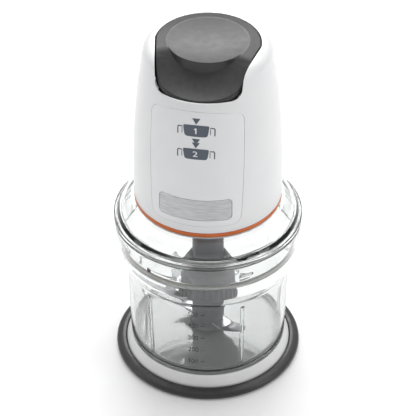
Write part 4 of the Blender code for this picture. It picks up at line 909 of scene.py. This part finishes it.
def speed_plate(low, high, half=8.75):
    """A shallow bowl seen from the side: its rim arches by 0.5 mm and its foot's corners are round."""
    u = np.linspace(-1, 1, 49)
    into_foot = np.clip((np.abs(u) - 0.74) / 0.26, 0, 1)
    into_rim = np.clip((np.abs(u) - 0.9) / 0.1, 0, 1)
    foot = low + 2.3 * (1 - np.sqrt(1 - into_foot**2))
    rim_line = high - 0.5 * u**2 - 0.9 * (1 - np.sqrt(1 - into_rim**2))
    rows = np.linspace(0, 1, 9)[:, None]
    x = u[None] * (half - 0.7 * (1 - rows))
    z = foot[None] + rows * (rim_line - foot)[None]
    return np.stack([x, z], axis=-1).reshape(-1, 2), grid_faces(9, 49, False, False)


def arrow(top, foot, half=2.7, foot_half=0.0):
    """A triangle that points down, or one with its tip cut off."""
    return drawn_patch([(-half, top), (-foot_half, foot)], [(half, top), (foot_half, foot)])


def handle(side, top, low, reach=12.9, near=9.3, line=0.75):
    """A line from the plate's rim outwards and down at its end, and a thinner one down beside the plate."""
    bend = line + 0.5
    legs = []
    for at, wide, foot in ((reach, line, low), (near + 0.45, 0.45, low + 0.9)):
        a, b = sorted((side * at, side * (at - wide)))
        legs.append(drawn_patch([(a, top - bend), (a, foot)], [(b, top - bend), (b, foot)], 3))
    x = side * np.array([near, reach - 1.3, reach - 0.4, reach])
    upper = np.array([top, top, top - 0.4, top - bend])
    x_under = side * np.array([near, reach - 1.4, reach - line - 0.25, reach - line])
    under = np.array([top - line, top - line, top - line - 0.25, top - bend])
    bar = np.concatenate([np.stack([x, upper], -1), np.stack([x_under, under], -1)])
    return joined((bar, grid_faces(2, 4, False, False)), *legs)


slate = joined(
    arrow(233.3, 228.8), speed_plate(219.6, 228.3), handle(-1, 226.6, 220.4), handle(1, 226.6, 220.4),
    arrow(218.0, 215.15, foot_half=1.1), arrow(215.05, 210.9),
    speed_plate(202.1, 210.4), handle(-1, 208.9, 202.7), handle(1, 208.9, 202.7),
)
SYMBOL_TURN = 1.2
symbols = printed("speed_symbols", *slate, housing_radius, degrees=SYMBOL_TURN)
settle(symbols, "power_unit", "slate_ink", "white_plastic")


def numeral_one(height, centre):
    """A bold 1 with a flag: rows of points down its left and right edges."""
    left = [(-0.15, 1.0), (-1.0, 0.84), (-1.0, 0.7), (-0.15, 0.78), (-0.15, 0.0)]
    right = [(0.75, 1.0), (0.75, 0.92), (0.75, 0.84), (0.75, 0.78), (0.75, 0.0)]
    placed = [
        [(centre[0] + x, centre[1] + (z - 0.5) * height) for x, z in edge] for edge in (left, right)
    ]
    return drawn_patch(*placed, columns=4)


pale = joined(numeral_one(4.1, (-0.4, 223.9)), numeral("2", 4.1, (-0.4, 206.3), 1.3))
numerals = printed("speed_numerals", *pale, housing_radius, degrees=SYMBOL_TURN, lift=2 * INK)
settle(numerals, "power_unit", "pale_ink", "white_plastic")

# %% Graduations and lock symbol on the bowl
marks = []
for text, z in (("100", 27.8), ("200", 39.2), ("300", 50.5), ("400", 61.8), ("500", 72.4)):
    marks.append(numeral(text, 4.2, (0, z), 0.85))
    marks.append(drawn_patch([(5.2, z + 0.25), (5.2, z - 0.25)], [(8.2, z + 0.25), (8.2, z - 0.25)]))
graduations = printed("graduations", *joined(*marks), bowl_radius)
settle(graduations, "bowl", "grey_ink", "clear_plastic")


def ring_stroke(centre, radius, line, first, last, steps=24):
    """An arc as a flat stroke between two angles in degrees."""
    a = np.radians(np.linspace(first, last, steps))
    arcs = [
        np.stack([centre[0] + r * np.cos(a), centre[1] + r * np.sin(a)], axis=-1)
        for r in (radius - line / 2, radius + line / 2)
    ]
    return np.concatenate(arcs), grid_faces(2, steps, False, False)


def collar_wall(z):
    """The collar's outer radius by height."""
    shares, heights = zip(*COLLAR_SHARES)
    return COLLAR_RADIUS + COLLAR_FLARE * np.interp((z - COLLAR_FOOT) / COLLAR_RISE, heights, shares)


lock = joined(
    drawn_patch([(-1.6, 109.2), (-1.6, 106.2)], [(1.6, 109.2), (1.6, 106.2)]),
    ring_stroke((0, 109.2), 1.0, 0.45, 0, 180),
)
lock_symbol = printed("lock_symbol", *lock, collar_wall, degrees=-28)
settle(lock_symbol, "bowl", "grey_ink", "clear_plastic")

# %% [markdown]
# ## Finishes
#
# Each finish is a Principled shader with its own plain values, and noise that changes its colour, roughness
# and surface by small amounts. Three effects are shared, so each is a node group built once: the grain of a
# moulded surface, the fine lines of brushed or ground metal, and the dust that settles on faces that look
# up.

# %% Shared effects


def group(name, numbers, colours=(), outputs=()):
    """An empty node group with number and colour inputs, and its two end nodes."""
    tree = bpy.data.node_groups.new(name, "ShaderNodeTree")
    for label, value in numbers:
        tree.interface.new_socket(label, in_out="INPUT", socket_type="NodeSocketFloat").default_value = value
    for label in colours:
        tree.interface.new_socket(label, in_out="INPUT", socket_type="NodeSocketColor")
    for label, kind in outputs:
        tree.interface.new_socket(label, in_out="OUTPUT", socket_type=kind)
    return tree, tree.nodes.new("NodeGroupInput"), tree.nodes.new("NodeGroupOutput")


def add(tree, kind, **values):
    """A node, with its settings or the values of its sockets."""
    node = tree.nodes.new(kind)
    for label, value in values.items():
        if hasattr(node, label):
            setattr(node, label, value)
        else:
            node.inputs[label.replace("_", " ").title()].default_value = value
    return node


def noise(tree, scale_socket, vector, factor=1.0, detail=4.0):
    """Noise at a scale times a factor, on a vector."""
    times = add(tree, "ShaderNodeMath", operation="MULTIPLY")
    times.inputs[1].default_value = factor
    tree.links.new(scale_socket, times.inputs[0])
    made = add(tree, "ShaderNodeTexNoise", detail=detail)
    tree.links.new(times.outputs[0], made.inputs["Scale"])
    tree.links.new(vector, made.inputs["Vector"])
    return made


def between(tree, value, low, high):
    """A value from 0.3..0.7 spread over low..high, which may be sockets or numbers."""
    spread = add(tree, "ShaderNodeMapRange")
    spread.inputs["From Min"].default_value = 0.3
    spread.inputs["From Max"].default_value = 0.7
    tree.links.new(value, spread.inputs["Value"])
    for label, end in (("To Min", low), ("To Max", high)):
        if isinstance(end, (int, float)):
            spread.inputs[label].default_value = end
        else:
            tree.links.new(end, spread.inputs[label])
    return spread.outputs["Result"]


OUTPUTS = (("Colour", "NodeSocketColor"), ("Roughness", "NodeSocketFloat"), ("Height", "NodeSocketFloat"))


def moulded_grain():
    """Fine grain, slow cloudiness in the colour, and patches that are a little less glossy."""
    tree, start, end = group(
        "moulded_grain", (("Scale", 900.0), ("Rough Low", 0.25), ("Rough High", 0.35), ("Cloud", 1.0)),
        ("Colour", "Second Colour"), OUTPUTS,
    )
    place = add(tree, "ShaderNodeTexCoord").outputs["Object"]
    grain = noise(tree, start.outputs["Scale"], place, 1.0, 3.0)
    cloud = noise(tree, start.outputs["Scale"], place, 0.025, 2.0)
    patch = noise(tree, start.outputs["Scale"], place, 0.11, 3.0)
    mix = add(tree, "ShaderNodeMix", data_type="RGBA")
    tree.links.new(between(tree, cloud.outputs["Fac"], 0.0, start.outputs["Cloud"]), mix.inputs["Factor"])
    tree.links.new(start.outputs["Colour"], mix.inputs["A"])
    tree.links.new(start.outputs["Second Colour"], mix.inputs["B"])
    rough = between(tree, patch.outputs["Fac"], start.outputs["Rough Low"], start.outputs["Rough High"])
    tree.links.new(mix.outputs["Result"], end.inputs["Colour"])
    tree.links.new(rough, end.inputs["Roughness"])
    tree.links.new(grain.outputs["Fac"], end.inputs["Height"])
    return tree


def brushed_lines():
    """Noise drawn out along one axis: long thin lines in the colour, the roughness and the surface."""
    tree, start, end = group(
        "brushed_lines",
        (("Scale", 60.0), ("Rough Low", 0.25), ("Rough High", 0.4), ("Along", 0.03), ("Across", 1.0)),
        ("Colour", "Second Colour"), OUTPUTS,
    )
    place = add(tree, "ShaderNodeTexCoord").outputs["Object"]
    stretch = add(tree, "ShaderNodeVectorMath", operation="MULTIPLY")
    axes = add(tree, "ShaderNodeCombineXYZ")
    tree.links.new(start.outputs["Along"], axes.inputs["X"])
    tree.links.new(start.outputs["Along"], axes.inputs["Y"])
    tree.links.new(start.outputs["Across"], axes.inputs["Z"])
    tree.links.new(place, stretch.inputs[0])
    tree.links.new(axes.outputs[0], stretch.inputs[1])
    lines = noise(tree, start.outputs["Scale"], stretch.outputs[0], 40.0, 5.0)
    mix = add(tree, "ShaderNodeMix", data_type="RGBA")
    tree.links.new(between(tree, lines.outputs["Fac"], 0.0, 1.0), mix.inputs["Factor"])
    tree.links.new(start.outputs["Colour"], mix.inputs["A"])
    tree.links.new(start.outputs["Second Colour"], mix.inputs["B"])
    rough = between(tree, lines.outputs["Fac"], start.outputs["Rough Low"], start.outputs["Rough High"])
    tree.links.new(mix.outputs["Result"], end.inputs["Colour"])
    tree.links.new(rough, end.inputs["Roughness"])
    tree.links.new(lines.outputs["Fac"], end.inputs["Height"])
    return tree


def settled_dust():
    """A mask of thin dust: noise, kept where the face looks up."""
    tree, start, end = group(
        "settled_dust", (("Scale", 260.0), ("Amount", 0.1)), (), (("Mask", "NodeSocketFloat"),),
    )
    place = add(tree, "ShaderNodeTexCoord").outputs["Object"]
    specks = noise(tree, start.outputs["Scale"], place, 1.0, 6.0)
    facing = add(tree, "ShaderNodeNewGeometry")
    split = add(tree, "ShaderNodeSeparateXYZ")
    tree.links.new(facing.outputs["Normal"], split.inputs[0])
    upward = add(tree, "ShaderNodeMapRange")
    tree.links.new(split.outputs["Z"], upward.inputs["Value"])
    upward.inputs["From Min"].default_value = 0.2
    product = add(tree, "ShaderNodeMath", operation="MULTIPLY")
    tree.links.new(between(tree, specks.outputs["Fac"], 0.0, start.outputs["Amount"]), product.inputs[0])
    tree.links.new(upward.outputs["Result"], product.inputs[1])
    tree.links.new(product.outputs[0], end.inputs["Mask"])
    return tree


GRAIN, LINES, DUST = moulded_grain(), brushed_lines(), settled_dust()
print("node groups:", GRAIN.name, LINES.name, DUST.name)

# %% A finish
finishes = {}


def colour(*levels):
    """A colour written in 0..255 display values, as the linear values a shader takes."""
    share = np.array(levels if len(levels) == 3 else levels * 3, float) / 255
    linear = np.where(share <= 0.04045, share / 12.92, ((share + 0.055) / 1.055) ** 2.4)
    return (*linear.tolist(), 1.0)


def finish(name, effect, first, second, rough, scale, bump, dust=0.0, extras=(), sockets=()):
    """A Principled material: a shared effect drives its colour, roughness and bump, and dust lies over it.

    extras are values of the effect's own inputs, and sockets those of the shader."""
    made = bpy.data.materials.new(name)
    made.use_nodes = True
    tree = made.node_tree
    shader = tree.nodes["Principled BSDF"]
    texture = tree.nodes.new("ShaderNodeGroup")
    texture.node_tree = effect
    texture.inputs["Colour"].default_value = first
    texture.inputs["Second Colour"].default_value = second
    texture.inputs["Scale"].default_value = scale
    texture.inputs["Rough Low"].default_value, texture.inputs["Rough High"].default_value = rough
    for label, value in extras:
        texture.inputs[label].default_value = value
    for label, value in sockets:
        shader.inputs[label].default_value = value
    tint, roughness = texture.outputs["Colour"], texture.outputs["Roughness"]
    if dust:
        specks = tree.nodes.new("ShaderNodeGroup")
        specks.node_tree = DUST
        specks.inputs["Amount"].default_value = dust
        over = add(tree, "ShaderNodeMix", data_type="RGBA")
        over.inputs["B"].default_value = colour(196, 193, 186)
        tree.links.new(specks.outputs["Mask"], over.inputs["Factor"])
        tree.links.new(tint, over.inputs["A"])
        tint = over.outputs["Result"]
    height = add(tree, "ShaderNodeBump")
    height.inputs["Strength"].default_value = bump
    height.inputs["Distance"].default_value = 0.0001
    tree.links.new(tint, shader.inputs["Base Color"])
    tree.links.new(roughness, shader.inputs["Roughness"])
    tree.links.new(texture.outputs["Height"], height.inputs["Height"])
    tree.links.new(height.outputs["Normal"], shader.inputs["Normal"])
    finishes[name] = made


METAL = (("Metallic", 1.0),)
finish("housing_white", GRAIN, colour(230, 230, 231), colour(226, 227, 228), (0.29, 0.31), 1500, 0.02, 0.02,
       sockets=(("Specular IOR Level", 0.65),))
finish("panel_white", GRAIN, colour(233, 234, 235), colour(229, 230, 232), (0.3, 0.33), 1500, 0.03, 0.02)
finish("tray_white", GRAIN, colour(234, 234, 234), colour(228, 228, 229), (0.28, 0.36), 1200, 0.04, 0.03)
finish("clear_moulding", GRAIN, (0.985, 0.992, 0.99, 1), (0.972, 0.985, 0.981, 1), (0.006, 0.02), 300, 0.0,
       sockets=(("Transmission Weight", 1.0), ("IOR", 1.49)))
finish("ring_rubber", GRAIN, colour(40, 40, 41), colour(33, 33, 34), (0.32, 0.42), 1600, 0.12, 0.03,
       sockets=(("Specular IOR Level", 0.6),))
finish("button_dark", GRAIN, colour(43, 43, 44), colour(37, 37, 38), (0.34, 0.42), 1700, 0.16, 0.03,
       sockets=(("Specular IOR Level", 0.55),))
finish("hub_grey", GRAIN, colour(106, 107, 110), colour(97, 98, 101), (0.34, 0.42), 1300, 0.06)
finish("orange_band", GRAIN, colour(212, 108, 34), colour(200, 96, 28), (0.29, 0.35), 1300, 0.04)
finish("seal_silicone", GRAIN, colour(214, 214, 210), colour(202, 202, 198), (0.42, 0.5), 900, 0.08,
       sockets=(("Subsurface Weight", 0.2),))
finish("badge_brushed", LINES, colour(192, 193, 194), colour(160, 161, 164), (0.3, 0.4), 60, 0.05,
       sockets=METAL, extras=(("Along", 0.05),))
finish("ground_steel", LINES, colour(208, 208, 210), colour(180, 180, 183), (0.16, 0.26), 40, 0.05,
       sockets=METAL, extras=(("Along", 1.0), ("Across", 0.05)))
finish("slate_ink", GRAIN, colour(86, 94, 106), colour(80, 88, 100), (0.45, 0.55), 1500, 0.03)
finish("pale_ink", GRAIN, colour(240, 240, 240), colour(232, 232, 233), (0.45, 0.55), 1500, 0.03)
finish("grey_ink", GRAIN, colour(46, 47, 49), colour(40, 41, 43), (0.5, 0.6), 1500, 0.03)
# The clear plastic swallows a little light, which darkens the long way through a wall seen edge-on.
clear_tree = finishes["clear_moulding"].node_tree
absorption = add(clear_tree, "ShaderNodeVolumeAbsorption", Density=40.0, Color=(0.5, 0.52, 0.515, 1))
clear_tree.links.new(absorption.outputs[0], clear_tree.nodes["Material Output"].inputs["Volume"])
print(len(finishes), "finishes")

# %% [markdown]
# ## Finishes of the hidden works
#
# The motor, the gears and the switch stay as the frame's own solids. Each gets the finish of its material.

# %% Finishes of the works
finish("works_white", GRAIN, colour(232, 233, 234), colour(225, 226, 228), (0.3, 0.38), 1200, 0.04)
finish("dark_plastic", GRAIN, colour(58, 60, 63), colour(50, 52, 55), (0.34, 0.44), 1200, 0.08)
finish("nylon", GRAIN, colour(224, 220, 205), colour(212, 207, 190), (0.35, 0.46), 800, 0.06)
finish("lamination_steel", LINES, colour(128, 130, 134), colour(96, 98, 102), (0.36, 0.5), 60, 0.25,
       sockets=METAL, extras=(("Along", 0.02),))
finish("wound_copper", LINES, colour(196, 112, 62), colour(150, 74, 38), (0.29, 0.4), 90, 0.4,
       sockets=METAL, extras=(("Along", 0.02),))
finish("brass", LINES, colour(205, 172, 104), colour(178, 146, 84), (0.29, 0.37), 60, 0.06, sockets=METAL)
finish("carbon", GRAIN, colour(48, 48, 50), colour(38, 38, 40), (0.5, 0.62), 1500, 0.15)
finish("circuit_green", GRAIN, colour(34, 104, 66), colour(28, 90, 58), (0.32, 0.42), 900, 0.06)
finish("bright_steel", GRAIN, colour(196, 197, 200), colour(180, 181, 185), (0.2, 0.26), 900, 0.04,
       sockets=METAL)

finish_of_slot = {
    "white_plastic": "works_white", "dark_plastic": "dark_plastic", "nylon": "nylon", "steel": "bright_steel",
    "lamination_steel": "lamination_steel", "copper": "wound_copper", "brass": "brass", "carbon": "carbon",
    "circuit_green": "circuit_green", "hub_plastic": "hub_grey", "button_plastic": "button_dark",
    "orange_plastic": "orange_band", "badge_metal": "badge_brushed", "black_rubber": "ring_rubber",
    "clear_plastic": "clear_moulding", "seal_silicone": "seal_silicone",
}

# %% Return spring
# Drawn again as a round wire. On the real unit this is the one piece of the works that changes its length: it
# shortens towards its foot as the button goes down.
TURNS, WIRE = 4, 0.45
spring_low, spring_high = span("button_spring")
coil = (spring_high[0] - spring_low[0]) / 2 - WIRE - 0.06
along = np.linspace(0, 1, 193)
about = 2 * math.pi * TURNS * along
wire_turn = even_angles(12) + math.pi / 12
out_by, up_by = WIRE * np.cos(wire_turn), WIRE * np.sin(wire_turn)
height = spring_low[2] + WIRE + 0.05 + (spring_high[2] - spring_low[2] - 2 * WIRE - 0.1) * along
coil_radius = coil + out_by[None]
spring_rows = np.stack([
    coil_radius * np.cos(about)[:, None], coil_radius * np.sin(about)[:, None], height[:, None] + up_by[None],
], axis=-1)
end_caps = [
    np.repeat(spring_rows[end].mean(0)[None], len(wire_turn), axis=0)[None] for end in (0, -1)
]
spring = grid_piece("return_spring", np.concatenate([end_caps[0], spring_rows, end_caps[1]])[::-1])
settle(spring, "power_unit", "bright_steel", "steel", "button_spring")
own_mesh(spring)

# %% Every piece gets its finish
for piece, finish_name in made_pieces:
    piece.data.materials.clear()
    piece.data.materials.append(finishes[finish_name])
slot_of = {part["node"]: part["material_slot"] for part in frame["record"]["subparts"]}
for name, solid in nodes.items():
    works = finishes[finish_of_slot[slot_of[name]]]
    if not solid.material_slots:
        solid.data.materials.append(works)
    for place in solid.material_slots:
        place.material = works
print(len(made_pieces), "made pieces,", len(nodes), "solids with a finish")
